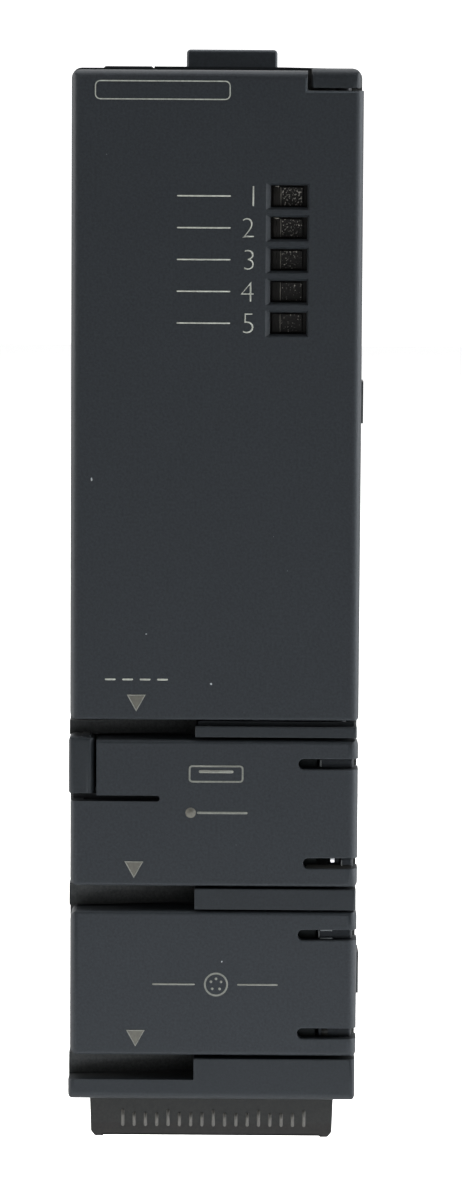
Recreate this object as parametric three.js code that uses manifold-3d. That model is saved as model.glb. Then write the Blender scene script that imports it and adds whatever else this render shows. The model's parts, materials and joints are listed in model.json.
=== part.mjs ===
// A rack-mounted controller module: a slim moulded case with three hinged front doors, a battery
// door underneath, a sprung fixing hook on top, and two circuit boards inside.
// Millimetres. +Z up, +X to the right seen from the front, +Y from the front towards the rack.
// The origin is on the rear mounting face, at mid width and mid height.
import * as THREE from "three";
import { mergeVertices } from "three/addons/utils/BufferGeometryUtils.js";
import Module from "manifold-3d";

const wasm = await Module();
wasm.setup();

// ---------------------------------------------------------------- driving dimensions
const WIDTH = 27.4;
const HEIGHT = 98;
const DEPTH = 89.3;
const WALL = 1.5;
const FIT = 0.15; // assembly gap between moulded parts
const RUN = 0.13; // radial clearance of a pin in its hole

const LEFT = -WIDTH / 2;
const RIGHT = WIDTH / 2;
const TOP = HEIGHT / 2;
const BOTTOM = -HEIGHT / 2;
const FRONT = -DEPTH;

// front frame and doors
const PANEL_FRONT = FRONT + 4.9;
const PANEL_BACK = PANEL_FRONT + WALL;
const FRAME_BACK = PANEL_FRONT + 10.5;
const CASE_FRONT = FRAME_BACK + 0.2;
const LIP_BACK = FRAME_BACK + 4.4;
const DOOR_PLATE = 1.4;
const DOOR_SKIRT = 1.2;
const DOOR_BACK = FRONT + 4.6;
const HINGE = { x: 11.9, y: FRONT + 2.1, pin: 0.75 };
const FRONT_DOOR = { left: -13.6, right: 13.7, bottom: -12.65, top: 48.75, notchX: 8.5, notchZ: 46.9 };
const USB_DOOR = { left: -13.55, right: 13.7, bottom: -28.45, top: -14.35 };
const SERIAL_DOOR = { left: -13.55, right: 13.7, bottom: -44.87, top: -30.75 };
const RECESS_RIGHT = -1.7;
const UPPER_BAR = [-14.07, -13.0];
const LOWER_BAR = [-30.58, -28.6];
const SILL = { left: -47.2, right: -45.15 }; // top of the bottom bar, left and right of the finger recess
const LATCH_POST = { right: -11.56, bottom: -19.5, top: -14.2 };
const TONGUE = { left: -11.05, slitRight: -5.05, slit: [-20.26, -19.7] };
const EAR = { left: 10.2, right: 13.3, front: FRONT + 0.8, thick: 0.8 };
const USB_EARS = [-16.6, -26.1];
const SERIAL_EARS = [-33.1, -42.65];
const EAR_SLOT = { left: 8.1, high: 1.0 };
const WINDOW = { left: 5.1, right: 8.55, high: 2.05, pitch: 2.975, top: 38.05, count: 5 };

// boards and what they carry
const MAIN_BOARD = { x: [-8.6, -7.0], y: [-82.4, -6.5], z: [-45.6, 41.5] };
const SUB_BOARD = { x: [4.4, 6.0], y: [-82.5, -31], z: [-11, 44.6], tongueY: -84.9, tongueZ: [24.0, 38.2] };
const USB_PORT = { x: -4.95, z: -21.35, wide: 3.9, high: 7.7, y: [FRONT + 4.2, FRONT + 13.4] };
const SERIAL_PORT = { x: -0.2, z: -37.8, size: 13.4, bore: 4.9, y: [FRONT + 5.0, FRONT + 18] };
const BUS = { x: -7.8, wide: 6.8, z: [-19, 19], y: [-7.4, -0.6], pitch: 1.27, contacts: 26 };
const SWITCH = { x: -4.0, z: -2.0, travel: 1.6 };

// underside, with the battery
const BATTERY = { x: 2.6, z: -38.9, radius: 8.0, y: [-68.0, -34.5] };
const PLUG = { x: [-5.4, -2.4], y: [-41.6, -36.2], z: [-28.6, -23.0] };
const BATTERY_DOOR = { half: 11.7, front: FRONT + 2.8, bottom: -53.05, wall: 1.2 };
const BATTERY_HINGE = { y: -31.8, z: -50.2, pin: 0.7, earX: 8.2, earWide: 1.0 };
const BATTERY_OPENING = { x: [-5.8, 10.4], y: [-69.1, -34.2] };
const DOOR_TAB = { x: 5.6, half: 1.1, y: [-85.2, -84.3], top: -48.0 };

// top, with the fixing hook
const HOOK = { x: 1.03, half: 5.05, pivotY: -22, pivotZ: 45.9, pin: 1.0, crest: 52.7 };
const HOOK_POCKET = { half: 5.6, y: [-27, 1], floor: 41.0, wall: 1.2 };
const SPRING = { y: -12.5, radius: 1.9, wire: 0.24, turns: 5 };
const SCREW_POCKET = { x: [LEFT + WALL, -7.4], y: [-14, -4], floor: 43.4, holeX: -9.8, holeZ: 46.3, hole: 1.7 };
const SNAP_HEIGHTS = [-30, 30];
const SNAP = { high: 6, y: [FRAME_BACK + 1.7, FRAME_BACK + 3.5] };
const BOARD_SCREWS = [
  [-20, -40],
  [-62, 37],
];

const ROUND = 16; // sides of a small cylinder

// ---------------------------------------------------------------- solids
// A three.js geometry as a solid that can be joined and cut.
function solid(geometry) {
  const bare = geometry.clone();
  bare.deleteAttribute("normal");
  bare.deleteAttribute("uv");
  const merged = mergeVertices(bare, 1e-4);
  return new wasm.Manifold(
    new wasm.Mesh({
      numProp: 3,
      vertProperties: new Float32Array(merged.attributes.position.array),
      triVerts: new Uint32Array(merged.index.array),
    }),
  );
}

function block([x0, x1], [y0, y1], [z0, z1]) {
  const geometry = new THREE.BoxGeometry(x1 - x0, y1 - y0, z1 - z0);
  geometry.translate((x0 + x1) / 2, (y0 + y1) / 2, (z0 + z1) / 2);
  return solid(geometry);
}

// A cylinder along "x", "y" or "z" between two values of that axis; centre gives the other two.
function rod(axis, centre, radius, [from, to], sides = ROUND) {
  const geometry = new THREE.CylinderGeometry(radius, radius, to - from, sides);
  const middle = (from + to) / 2;
  if (axis === "x") {
    geometry.rotateZ(-Math.PI / 2);
    geometry.translate(middle, centre[0], centre[1]);
  } else if (axis === "y") {
    geometry.translate(centre[0], middle, centre[1]);
  } else {
    geometry.rotateX(Math.PI / 2);
    geometry.translate(centre[0], centre[1], middle);
  }
  return solid(geometry);
}

// An outline drawn in X and Z, made solid from y0 to y1, with its long edges eased by edge.
function slab(outline, [y0, y1], edge = 0, segments = 2) {
  const geometry = new THREE.ExtrudeGeometry(outline, {
    depth: y1 - y0 - 2 * edge,
    bevelEnabled: edge > 0,
    bevelThickness: edge,
    bevelSize: edge,
    bevelOffset: -edge,
    bevelSegments: segments,
    curveSegments: 3,
  });
  geometry.rotateX(Math.PI / 2);
  geometry.translate(0, y1 - edge, 0);
  return solid(geometry);
}

// An outline drawn in Y and Z, made solid from x0 to x1.
function profile(points, [x0, x1]) {
  const outline = new THREE.Shape(points.map(([y, z]) => new THREE.Vector2(y, z)));
  const geometry = new THREE.ExtrudeGeometry(outline, { depth: x1 - x0, bevelEnabled: false });
  geometry.rotateY(Math.PI / 2);
  geometry.rotateX(Math.PI / 2);
  geometry.translate(x0, 0, 0);
  return solid(geometry);
}

function polygon(points) {
  return new THREE.Shape(points.map(([x, z]) => new THREE.Vector2(x, z)));
}

function roundedRectangle(x0, x1, z0, z1, radius) {
  const shape = new THREE.Shape();
  shape.moveTo(x0 + radius, z0);
  shape.lineTo(x1 - radius, z0);
  shape.absarc(x1 - radius, z0 + radius, radius, -Math.PI / 2, 0);
  shape.lineTo(x1, z1 - radius);
  shape.absarc(x1 - radius, z1 - radius, radius, 0, Math.PI / 2);
  shape.lineTo(x0 + radius, z1);
  shape.absarc(x0 + radius, z1 - radius, radius, Math.PI / 2, Math.PI);
  shape.lineTo(x0, z0 + radius);
  shape.absarc(x0 + radius, z0 + radius, radius, Math.PI, Math.PI * 1.5);
  return shape;
}

const join = (first, ...others) => others.reduce((made, other) => made.add(other), first);
const cut = (first, ...tools) => tools.reduce((made, tool) => made.subtract(tool), first);

// ---------------------------------------------------------------- materials
const finish = (color, roughness, metalness = 0) =>
  new THREE.MeshStandardMaterial({ color, roughness, metalness });
const CASE = finish(0x373b3f, 0.62);
const SMOKED = finish(0x15171a, 0.15);
const STEEL = finish(0xb9bcc0, 0.35, 1);
const GOLD = finish(0xc8a24a, 0.3, 1);
const BOARD = finish(0x1d5a35, 0.45);
const CHIP = finish(0x1b1c1e, 0.5);
const BLACK = finish(0x17181a, 0.5);
const IVORY = finish(0xe6e0cf, 0.5);
const LABEL = finish(0xc9ccce, 0.4);
const BATTERY_WRAP = finish(0x2d5c9a, 0.4);
const RED = finish(0xa3231f, 0.5);
const LED_BODY = finish(0xd8d4c4, 0.35);

const root = new THREE.Group();

// Adds one named mesh. The solid is modelled in the module's frame, and at is its own reference
// point: the mesh is placed there, so that it turns or moves about that point.
function add(name, made, material, at = [0, 0, 0], group = root) {
  const mesh = made.getMesh();
  const geometry = new THREE.BufferGeometry();
  geometry.setAttribute("position", new THREE.BufferAttribute(mesh.vertProperties, 3));
  geometry.setIndex(new THREE.BufferAttribute(mesh.triVerts, 1));
  geometry.translate(-at[0], -at[1], -at[2]);
  const placed = new THREE.Mesh(geometry, material);
  placed.name = name;
  placed.position.set(...at);
  group.add(placed);
}

// ---------------------------------------------------------------- front frame
// A hinge ear: a thin plate with a clip-in hole, standing forward of the panel.
function hingeEar(z) {
  const span = [z - EAR.thick / 2, z + EAR.thick / 2];
  const plate = block([EAR.left, EAR.right], [EAR.front, PANEL_FRONT + 0.5], span);
  return cut(plate, rod("z", [HINGE.x, HINGE.y], HINGE.pin + RUN, [z - 1, z + 1]));
}

// The finger recess between two doors: open at the side, with a floor that falls away from there.
function fingerRecess(z0, z1) {
  const floor = new THREE.ExtrudeGeometry(
    polygon([
      [LEFT, PANEL_FRONT - 2.2],
      [RECESS_RIGHT + 0.1, PANEL_FRONT - 0.1],
      [RECESS_RIGHT + 0.1, PANEL_FRONT + 0.5],
      [LEFT, PANEL_FRONT + 0.5],
    ]),
    { depth: z1 - z0, bevelEnabled: false },
  );
  floor.translate(0, 0, z0);
  return solid(floor);
}

function frontCase() {
  const outline = roundedRectangle(LEFT, RIGHT, BOTTOM, TOP, 0.9);
  const shell = cut(
    slab(outline, [PANEL_FRONT, FRAME_BACK]),
    block([LEFT + WALL, RIGHT - WALL], [PANEL_BACK, FRAME_BACK + 1], [BOTTOM + WALL, TOP - WALL]),
  );
  // a lip that enters the case behind, on a root ring that ties it to the walls
  const inset = WALL + FIT;
  const lip = cut(
    join(
      block([LEFT + inset, RIGHT - inset], [FRAME_BACK - 2, LIP_BACK], [BOTTOM + inset, TOP - inset]),
      block([LEFT + 0.5, RIGHT - 0.5], [FRAME_BACK - 2, FRAME_BACK - 0.01], [BOTTOM + 0.5, TOP - 0.5]),
    ),
    block(
      [LEFT + inset + 1, RIGHT - inset - 1],
      [FRAME_BACK - 3, LIP_BACK + 1],
      [BOTTOM + inset + 1, TOP - inset - 1],
    ),
    // gaps for the guide rails of the case behind
    block([-10.4, -5.2], [FRAME_BACK + 0.1, LIP_BACK + 1], [BOTTOM, BOTTOM + 4]),
    block([2.8, 7.6], [FRAME_BACK + 0.1, LIP_BACK + 1], [TOP - 4, TOP]),
  );
  const snaps = SNAP_HEIGHTS.flatMap((z) => [
    block([LEFT + 0.4, LEFT + inset + 0.5], SNAP.y, [z - SNAP.high / 2, z + SNAP.high / 2]),
    block([RIGHT - inset - 0.5, RIGHT - 0.4], SNAP.y, [z - SNAP.high / 2, z + SNAP.high / 2]),
  ]);
  const sill = slab(
    polygon([
      [LEFT + 0.7, BOTTOM],
      [RIGHT - 0.7, BOTTOM],
      [RIGHT - 0.2, BOTTOM + 0.2],
      [RIGHT, BOTTOM + 0.7],
      [RIGHT, SILL.right],
      [RECESS_RIGHT, SILL.right],
      [RECESS_RIGHT, SILL.left],
      [LEFT, SILL.left],
      [LEFT, BOTTOM + 0.7],
      [LEFT + 0.2, BOTTOM + 0.2],
    ]),
    [FRONT, PANEL_FRONT + 0.5],
    0.3,
    1,
  );
  const upperBar = block([RECESS_RIGHT, 13.64], [FRONT, PANEL_FRONT + 0.5], UPPER_BAR);
  const lowerBar = block([RECESS_RIGHT, 13.66], [FRONT, PANEL_FRONT + 0.5], LOWER_BAR);
  const latchPost = block(
    [LEFT, LATCH_POST.right],
    [FRONT, PANEL_FRONT + 0.5],
    [LATCH_POST.bottom, LATCH_POST.top],
  );
  const hingeBoss = slab(roundedRectangle(8.95, 13.55, 47.1, TOP, 0.4), [FRONT + 0.2, PANEL_FRONT + 0.5], 0.35, 1);
  const recesses = [
    fingerRecess(-14.2, -12.85),
    fingerRecess(-30.65, -28.55),
    fingerRecess(SILL.left - 0.1, -44.95),
  ];
  const topPad = block([-10.8, -6.2], [FRAME_BACK - 7, FRAME_BACK - 1], [TOP - 0.2, TOP + 0.17]);
  const sidePips = [17.4, -37.8].map((z) =>
    block([RIGHT - 0.2, RIGHT + 0.4], [PANEL_FRONT + 2, PANEL_FRONT + 6], [z - 2, z + 2]),
  );
  const frame = join(
    shell,
    lip,
    ...snaps,
    sill,
    upperBar,
    lowerBar,
    latchPost,
    hingeBoss,
    ...recesses,
    topPad,
    ...sidePips,
    ...[...USB_EARS, ...SERIAL_EARS].map(hingeEar),
  );
  const through = [PANEL_FRONT - 1, PANEL_BACK + 1];
  return cut(
    frame,
    // pivot holes of the front door
    rod("z", [HINGE.x, HINGE.y], HINGE.pin + RUN, [46, 48.45]),
    rod("z", [HINGE.x, HINGE.y], HINGE.pin + RUN, [-15, -12]),
    // indicator slot, switch slot and port openings
    block([3.9, 8.9], through, [23.7, 38.5]),
    block([SWITCH.x - 0.95, SWITCH.x + 0.95], through, [SWITCH.z - 3.2, SWITCH.z + 3.2]),
    block(
      [USB_PORT.x - USB_PORT.wide / 2 - 0.3, USB_PORT.x + USB_PORT.wide / 2 + 0.3],
      through,
      [USB_PORT.z - USB_PORT.high / 2 - 0.3, USB_PORT.z + USB_PORT.high / 2 + 0.3],
    ),
    rod("y", [SERIAL_PORT.x, SERIAL_PORT.z], 5.9, through, 32),
    // holes for the latch pegs of the three doors
    block([-10.9, -8.9], through, [-9.4, -6.6]),
    block([-10.9, -8.9], through, [-26.4, -23.6]),
    block([-10.9, -8.9], through, [-42.9, -40.1]),
    // pockets for the two tabs of the battery door
    ...[-1, 1].map((side) =>
      block(
        [side * DOOR_TAB.x - DOOR_TAB.half - 0.3, side * DOOR_TAB.x + DOOR_TAB.half + 0.3],
        [DOOR_TAB.y[0] - 0.5, DOOR_TAB.y[1] + 0.5],
        [BOTTOM - 1, DOOR_TAB.top + 0.4],
      ),
    ),
  );
}

// ---------------------------------------------------------------- front doors
// A shallow tray, open behind, with its front edges eased and its hinge side cut shallow so that
// it can swing past the panel.
function doorTray(door, outline) {
  const deep = [FRONT, DOOR_BACK + 1];
  const cavity = block(
    [door.left + DOOR_SKIRT, door.right - DOOR_SKIRT],
    [FRONT + DOOR_PLATE, DOOR_BACK + 2],
    [door.bottom + DOOR_SKIRT, door.top - DOOR_SKIRT],
  );
  return cut(
    slab(outline, deep, 0.5),
    cavity,
    block([door.left - 1, door.right + 1], [DOOR_BACK, DOOR_BACK + 2], [door.bottom - 1, door.top + 1]),
    block([HINGE.x, door.right + 1], [HINGE.y + 1.2, DOOR_BACK + 2], [door.bottom - 1, door.top + 1]),
  );
}

// The peg on a door's back that presses into the panel to keep it shut.
function latchPeg(z) {
  return block([-10.6, -9.2], [FRONT + DOOR_PLATE - 0.2, PANEL_FRONT + 0.9], [z - 1, z + 1]);
}

function frontDoor() {
  const d = FRONT_DOOR;
  const outline = polygon([
    [d.left, d.bottom],
    [d.right, d.bottom],
    [d.right, d.notchZ],
    [d.notchX, d.notchZ],
    [d.notchX, d.top],
    [d.left, d.top],
  ]);
  const notchSkirts = join(
    block(
      [d.notchX - DOOR_SKIRT, d.notchX],
      [FRONT + DOOR_PLATE - 0.2, DOOR_BACK],
      [d.notchZ - DOOR_SKIRT, d.top - 0.6],
    ),
    block(
      [d.notchX - DOOR_SKIRT, HINGE.x + 1],
      [FRONT + DOOR_PLATE - 0.2, HINGE.y + 1.2],
      [d.notchZ - DOOR_SKIRT, d.notchZ],
    ),
  );
  const pins = join(
    rod("z", [HINGE.x, HINGE.y], HINGE.pin, [d.notchZ - 0.6, 48.3]),
    rod("z", [HINGE.x, HINGE.y], HINGE.pin, [-13.8, d.bottom + 0.6]),
  );
  const windows = [];
  for (let i = 0; i < WINDOW.count; i++) {
    const top = WINDOW.top - i * WINDOW.pitch;
    windows.push(block([WINDOW.left, WINDOW.right], [FRONT - 1, FRONT + 3], [top - WINDOW.high, top]));
  }
  return cut(join(doorTray(d, outline), notchSkirts, pins, latchPeg(-8)), ...windows);
}

// The slots of a port door that its hinge ears stand in, with the bosses and pins beside them.
function earSlot(door, z) {
  const half = EAR_SLOT.high / 2;
  return {
    boss: block([HINGE.x - 1, HINGE.x + 1], [FRONT + 1, HINGE.y + 1], [z - half - 1.1, z + half + 1.1]),
    slot: block([EAR_SLOT.left, door.right + 1], [FRONT - 1, DOOR_BACK + 1], [z - half, z + half]),
    pin: rod("z", [HINGE.x, HINGE.y], HINGE.pin, [z - half - 0.3, z + half + 0.3]),
  };
}

function portDoor(door, ears, pegZ) {
  const outline = roundedRectangle(door.left, door.right, door.bottom, door.top, 0.6);
  const slots = ears.map((z) => earSlot(door, z));
  const tray = join(doorTray(door, outline), ...slots.map((s) => s.boss), latchPeg(pegZ));
  return join(cut(tray, ...slots.map((s) => s.slot)), ...slots.map((s) => s.pin));
}

function usbDoor() {
  const d = USB_DOOR;
  const notch = block([d.left - 1, TONGUE.left], [FRONT - 1, DOOR_BACK + 1], [TONGUE.slit[0], d.top + 1]);
  const slit = block([d.left - 1, TONGUE.slitRight], [FRONT - 1, DOOR_BACK + 1], TONGUE.slit);
  const tongueEnd = block(
    [TONGUE.left, TONGUE.left + 1],
    [FRONT + DOOR_PLATE - 0.2, FRONT + 3.6],
    [TONGUE.slit[1], d.top - 0.6],
  );
  return cut(portDoor(d, USB_EARS, -25), notch, slit).add(tongueEnd);
}

// ---------------------------------------------------------------- rear case
// A row of ventilation slots in a wall that lies across Z.
function ventSlots([z0, z1], xSpans, [from, to], pitch = 3.1, wide = 1.5) {
  const slots = [];
  for (let y = from; y <= to; y += pitch)
    for (const x of xSpans) slots.push(block(x, [y - wide / 2, y + wide / 2], [z0 - 1, z1 + 1]));
  return slots;
}

function mainCase() {
  const outside = block([LEFT, RIGHT], [CASE_FRONT, 0], [BOTTOM, TOP]);
  const inside = block([LEFT + WALL, RIGHT + 1], [CASE_FRONT - 1, -2], [BOTTOM + WALL, TOP - WALL]);
  const shell = cut(outside, inside);
  const p = HOOK_POCKET;
  const hookWall = block(
    [HOOK.x - p.half - p.wall, HOOK.x + p.half + p.wall],
    [p.y[0] - p.wall, -0.01],
    [p.floor - p.wall, TOP],
  );
  const s = SCREW_POCKET;
  const screwWall = block([LEFT + 0.5, s.x[1] + 1.4], [s.y[0] - 1.2, -0.01], [s.floor - 1.2, TOP]);
  const rails = join(
    block([-9.8, -8.75], [-69, -47], [BOTTOM + 1, BOTTOM + 5.2]),
    block([-6.85, -5.8], [-69, -47], [BOTTOM + 1, BOTTOM + 5.2]),
    block([3.2, 4.25], [-69, -34], [TOP - 5.2, TOP - 1]),
    block([6.15, 7.2], [-69, -34], [TOP - 5.2, TOP - 1]),
  );
  const bosses = BOARD_SCREWS.map(([y, z]) => rod("x", [y, z], 2.4, [LEFT + 1, MAIN_BOARD.x[0] - 0.1]));
  const pilots = BOARD_SCREWS.map(([y, z]) => rod("x", [y, z], 0.95, [LEFT + 1.6, 0], 12));
  const projections = [-7.5, 7.5].map((x) =>
    profile(
      [
        [-1, -48.6],
        [3.6, -48.6],
        [4.6, -47.4],
        [4.6, -44.9],
        [3.0, -44.9],
        [3.0, -46.4],
        [-1, -46.4],
      ],
      [x - 2.5, x + 2.5],
    ),
  );
  const h = BATTERY_HINGE;
  const batteryHingeEars = [
    [-h.earX - h.earWide, -h.earX],
    [h.earX, h.earX + h.earWide],
  ].map((x) => block(x, [h.y - 1.35, h.y + 1.35], [h.z - 1.33, BOTTOM + 0.5]));
  const whole = join(
    shell,
    hookWall,
    screwWall,
    rails,
    ...bosses,
    ...projections,
    ...batteryHingeEars,
  );
  return cut(
    whole,
    ...pilots,
    // hook pocket, open above and behind
    block([HOOK.x - p.half, HOOK.x + p.half], p.y, [p.floor, TOP + 1]),
    rod("x", [HOOK.pivotY, HOOK.pivotZ], HOOK.pin + 0.05, [HOOK.x - p.half - 0.8, HOOK.x + p.half + 0.8]),
    // fixing screw pocket, open above, and its hole
    block(s.x, s.y, [s.floor, TOP + 1]),
    rod("y", [s.holeX, s.holeZ], s.hole, [-6, 1]),
    // bus connector opening
    block(
      [BUS.x - BUS.wide / 2 - 0.3, BUS.x + BUS.wide / 2 + 0.3],
      [-3, 1],
      [BUS.z[0] - 0.3, BUS.z[1] + 0.3],
    ),
    // battery opening and the pivot holes of its door
    block(BATTERY_OPENING.x, BATTERY_OPENING.y, [BOTTOM - 1, BOTTOM + WALL + 1]),
    rod("x", [BATTERY_HINGE.y, BATTERY_HINGE.z], BATTERY_HINGE.pin + RUN, [-10, 10]),
    // snap windows for the front frame
    ...SNAP_HEIGHTS.map((z) =>
      block([LEFT - 1, LEFT + WALL + 0.1], [SNAP.y[0] - 0.2, SNAP.y[1] + 0.2], [z - 3.3, z + 3.3]),
    ),
    // ventilation above and below
    ...ventSlots([TOP - WALL, TOP], [[-11, -5.2], [-3.4, 2.4], [8.2, 11.4]], [-66, -34]),
    ...ventSlots([BOTTOM, BOTTOM + WALL], [[-11, -1.5], [1.5, 11]], [-27, -7]),
  );
}

function sideCover() {
  const thick = [RIGHT - WALL, RIGHT];
  const z = [BOTTOM + WALL + FIT, TOP - WALL - FIT];
  const plate = block(thick, [CASE_FRONT, -2 - FIT], z);
  const hooks = [-55, -20].flatMap((y) => [
    block([RIGHT - WALL - 2.4, RIGHT - WALL + 0.5], [y - 3, y + 3], [z[0], z[0] + 1]),
    block([RIGHT - WALL - 2.4, RIGHT - WALL + 0.5], [y - 3, y + 3], [z[1] - 1, z[1]]),
  ]);
  return cut(
    join(plate, ...hooks),
    ...SNAP_HEIGHTS.map((height) =>
      block([thick[0] - 1, RIGHT + 1], [SNAP.y[0] - 0.2, SNAP.y[1] + 0.2], [height - 3.3, height + 3.3]),
    ),
    block([RIGHT - 0.3, RIGHT + 1], [-62, -16], [-24, 24]),
  );
}

// ---------------------------------------------------------------- battery door
function batteryDoor() {
  const d = BATTERY_DOOR;
  const top = BOTTOM - FIT;
  const outline = polygon([
    [-d.half, top],
    [-d.half + 0.15, d.bottom + 0.5],
    [-d.half + 0.6, d.bottom - 0.1],
    [-d.half + 1.4, d.bottom - 0.1],
    [-d.half + 1.5, d.bottom],
    [d.half - 1.5, d.bottom],
    [d.half - 1.4, d.bottom - 0.1],
    [d.half - 0.6, d.bottom - 0.1],
    [d.half - 0.15, d.bottom + 0.5],
    [d.half, top],
  ]);
  const h = BATTERY_HINGE;
  const rear = h.y + 0.3;
  const sides = [-1, 1];
  const tray = cut(
    slab(outline, [d.front, rear]),
    block([-d.half + d.wall, d.half - d.wall], [d.front + d.wall, rear + 1], [d.bottom + d.wall, top + 1]),
    // clearance round the ears of the case
    ...sides.map((side) =>
      block(
        side < 0 ? [-h.earX - h.earWide - 0.15, -h.earX + 0.2] : [h.earX - 0.2, h.earX + h.earWide + 0.15],
        [h.y - 2.4, rear + 1],
        [d.bottom - 1, d.bottom + 2],
      ),
    ),
  );
  // knuckles outside the ears, with their pins
  const knuckles = sides.flatMap((side) => {
    const from = h.earX + h.earWide + 0.15;
    return [
      rod("x", [h.y, h.z], 1.05, side < 0 ? [-d.half + 0.3, -from] : [from, d.half - 0.3]),
      rod("x", [h.y, h.z], h.pin, side < 0 ? [-from - 0.5, -h.earX + 0.1] : [h.earX - 0.1, from + 0.5]),
    ];
  });
  const tabs = sides.map((side) =>
    join(
      block(
        [side * DOOR_TAB.x - DOOR_TAB.half, side * DOOR_TAB.x + DOOR_TAB.half],
        DOOR_TAB.y,
        [d.bottom + 0.5, DOOR_TAB.top],
      ),
      block(
        [side * DOOR_TAB.x - DOOR_TAB.half, side * DOOR_TAB.x + DOOR_TAB.half],
        [d.front + 0.5, DOOR_TAB.y[1]],
        [d.bottom + 0.5, BOTTOM - 0.6],
      ),
    ),
  );
  return join(tray, ...knuckles, ...tabs);
}

// ---------------------------------------------------------------- fixing hook
function fixingHook() {
  const h = HOOK;
  const arm = profile(
    [
      [h.pivotY - 2.2, HOOK_POCKET.floor + 0.2],
      [h.pivotY - 0.8, HOOK_POCKET.floor + 0.2],
      [h.pivotY - 0.8, 44.2],
      [4.6, 44.2],
      [4.6, 48.4],
      [3.2, 49.0],
      [1.9, 49.0],
      [1.9, 46.6],
      [h.pivotY - 2.2, 46.6],
    ],
    [h.x - h.half, h.x + h.half],
  );
  const barrel = rod("x", [h.pivotY, h.pivotZ], 2.2, [h.x - h.half, h.x + h.half]);
  const lever = block([h.x - h.half, h.x + h.half], [-9.4, -7.0], [46, h.crest]);
  const ribs = [-3.2, 0, 3.2].map((dx) =>
    profile(
      [
        [-7.1, 46.5],
        [-2.4, 46.5],
        [-7.1, 51.2],
      ],
      [h.x + dx - 0.5, h.x + dx + 0.5],
    ),
  );
  return cut(
    join(arm, barrel, lever, ...ribs),
    rod("x", [h.pivotY, h.pivotZ], h.pin + RUN, [h.x - 8, h.x + 8]),
    // seat of the spring, and the slot beside the nose
    rod("z", [h.x, SPRING.y], SPRING.radius + 0.7, [43, 44.8]),
    block([h.x - 1.6, h.x + 1.6], [1.5, 6], [43, 50]),
  );
}

class Helix extends THREE.Curve {
  constructor(radius, height, turns) {
    super();
    Object.assign(this, { radius, height, turns });
  }
  getPoint(t, target = new THREE.Vector3()) {
    const angle = t * this.turns * 2 * Math.PI;
    return target.set(this.radius * Math.cos(angle), this.radius * Math.sin(angle), t * this.height);
  }
}

// A round section drawn along a curve.
function tube(curve, radius, steps, sides = 8) {
  const section = new THREE.Shape();
  section.absarc(0, 0, radius, 0, 2 * Math.PI);
  return new THREE.ExtrudeGeometry(section, {
    extrudePath: curve,
    steps,
    curveSegments: sides / 2,
    bevelEnabled: false,
  });
}

function hookSpring() {
  const bottom = HOOK_POCKET.floor + SPRING.wire + 0.05;
  const top = 44.8 - SPRING.wire - 0.05;
  const coil = tube(new Helix(SPRING.radius, top - bottom, SPRING.turns), SPRING.wire, 60, 6);
  coil.translate(HOOK.x, SPRING.y, bottom);
  return solid(coil);
}

// ---------------------------------------------------------------- boards and components
function mainBoard() {
  const b = MAIN_BOARD;
  const connectorNotch = block([b.x[0] - 1, b.x[1] + 1], [-8.2, 0], [BUS.z[0] - 1, BUS.z[1] + 1]);
  const holes = BOARD_SCREWS.map(([y, z]) => rod("x", [y, z], 1.25, [b.x[0] - 1, b.x[1] + 1], 12));
  const topCorner = block([b.x[0] - 1, b.x[1] + 1], [-18, 0], [40, 46]);
  return cut(block(b.x, b.y, b.z), connectorNotch, ...holes, topCorner);
}

// The second board carries the indicators on a tongue that reaches through the panel.
function subBoard() {
  const b = SUB_BOARD;
  return block(b.x, b.y, b.z).add(block(b.x, [b.tongueY, b.y[0] + 1], b.tongueZ));
}

function boardScrew([y, z]) {
  const face = MAIN_BOARD.x[1];
  const head = rod("x", [y, z], 2.1, [face + 0.05, face + 1.5], ROUND);
  const shank = rod("x", [y, z], 0.8, [face - 4.9, face + 0.5], 12);
  const recess = join(
    block([face + 0.8, face + 2], [y - 1.2, y + 1.2], [z - 0.22, z + 0.22]),
    block([face + 0.8, face + 2], [y - 0.22, y + 0.22], [z - 1.2, z + 1.2]),
  );
  return cut(head.add(shank), recess);
}

// A flat package on the right-hand face of a board, with a row of leads along two sides.
function chip(face, y, z, wide, high, thick, leads) {
  const body = block(
    [face + 0.25, face + 0.25 + thick],
    [y - wide / 2, y + wide / 2],
    [z - high / 2, z + high / 2],
  );
  const pitch = (high - 1) / leads;
  const legs = [];
  for (let i = 0; i < leads; i++) {
    const at = z - high / 2 + 0.5 + pitch * (i + 0.5);
    const span = [at - pitch * 0.22, at + pitch * 0.22];
    legs.push(block([face + 0.08, face + 0.45], [y - wide / 2 - 0.9, y + wide / 2 + 0.9], span));
  }
  return join(body, ...legs);
}

function usbShell() {
  const p = USB_PORT;
  const outside = block([p.x - p.wide / 2, p.x + p.wide / 2], p.y, [p.z - p.high / 2, p.z + p.high / 2]);
  const inside = block(
    [p.x - p.wide / 2 + 0.4, p.x + p.wide / 2 - 0.4],
    [p.y[0] - 1, p.y[1] - 1],
    [p.z - p.high / 2 + 0.4, p.z + p.high / 2 - 0.4],
  );
  return cut(outside, inside);
}

function usbTongue() {
  const p = USB_PORT;
  const base = block([p.x - 1.4, p.x + 1.4], [p.y[1] - 3.2, p.y[1] - 1.1], [p.z - 3.2, p.z + 3.2]);
  const tongue = block([p.x - 0.35, p.x + 0.35], [p.y[0] + 1.0, p.y[1] - 3], [p.z - 2.6, p.z + 2.6]);
  return base.add(tongue);
}

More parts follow.
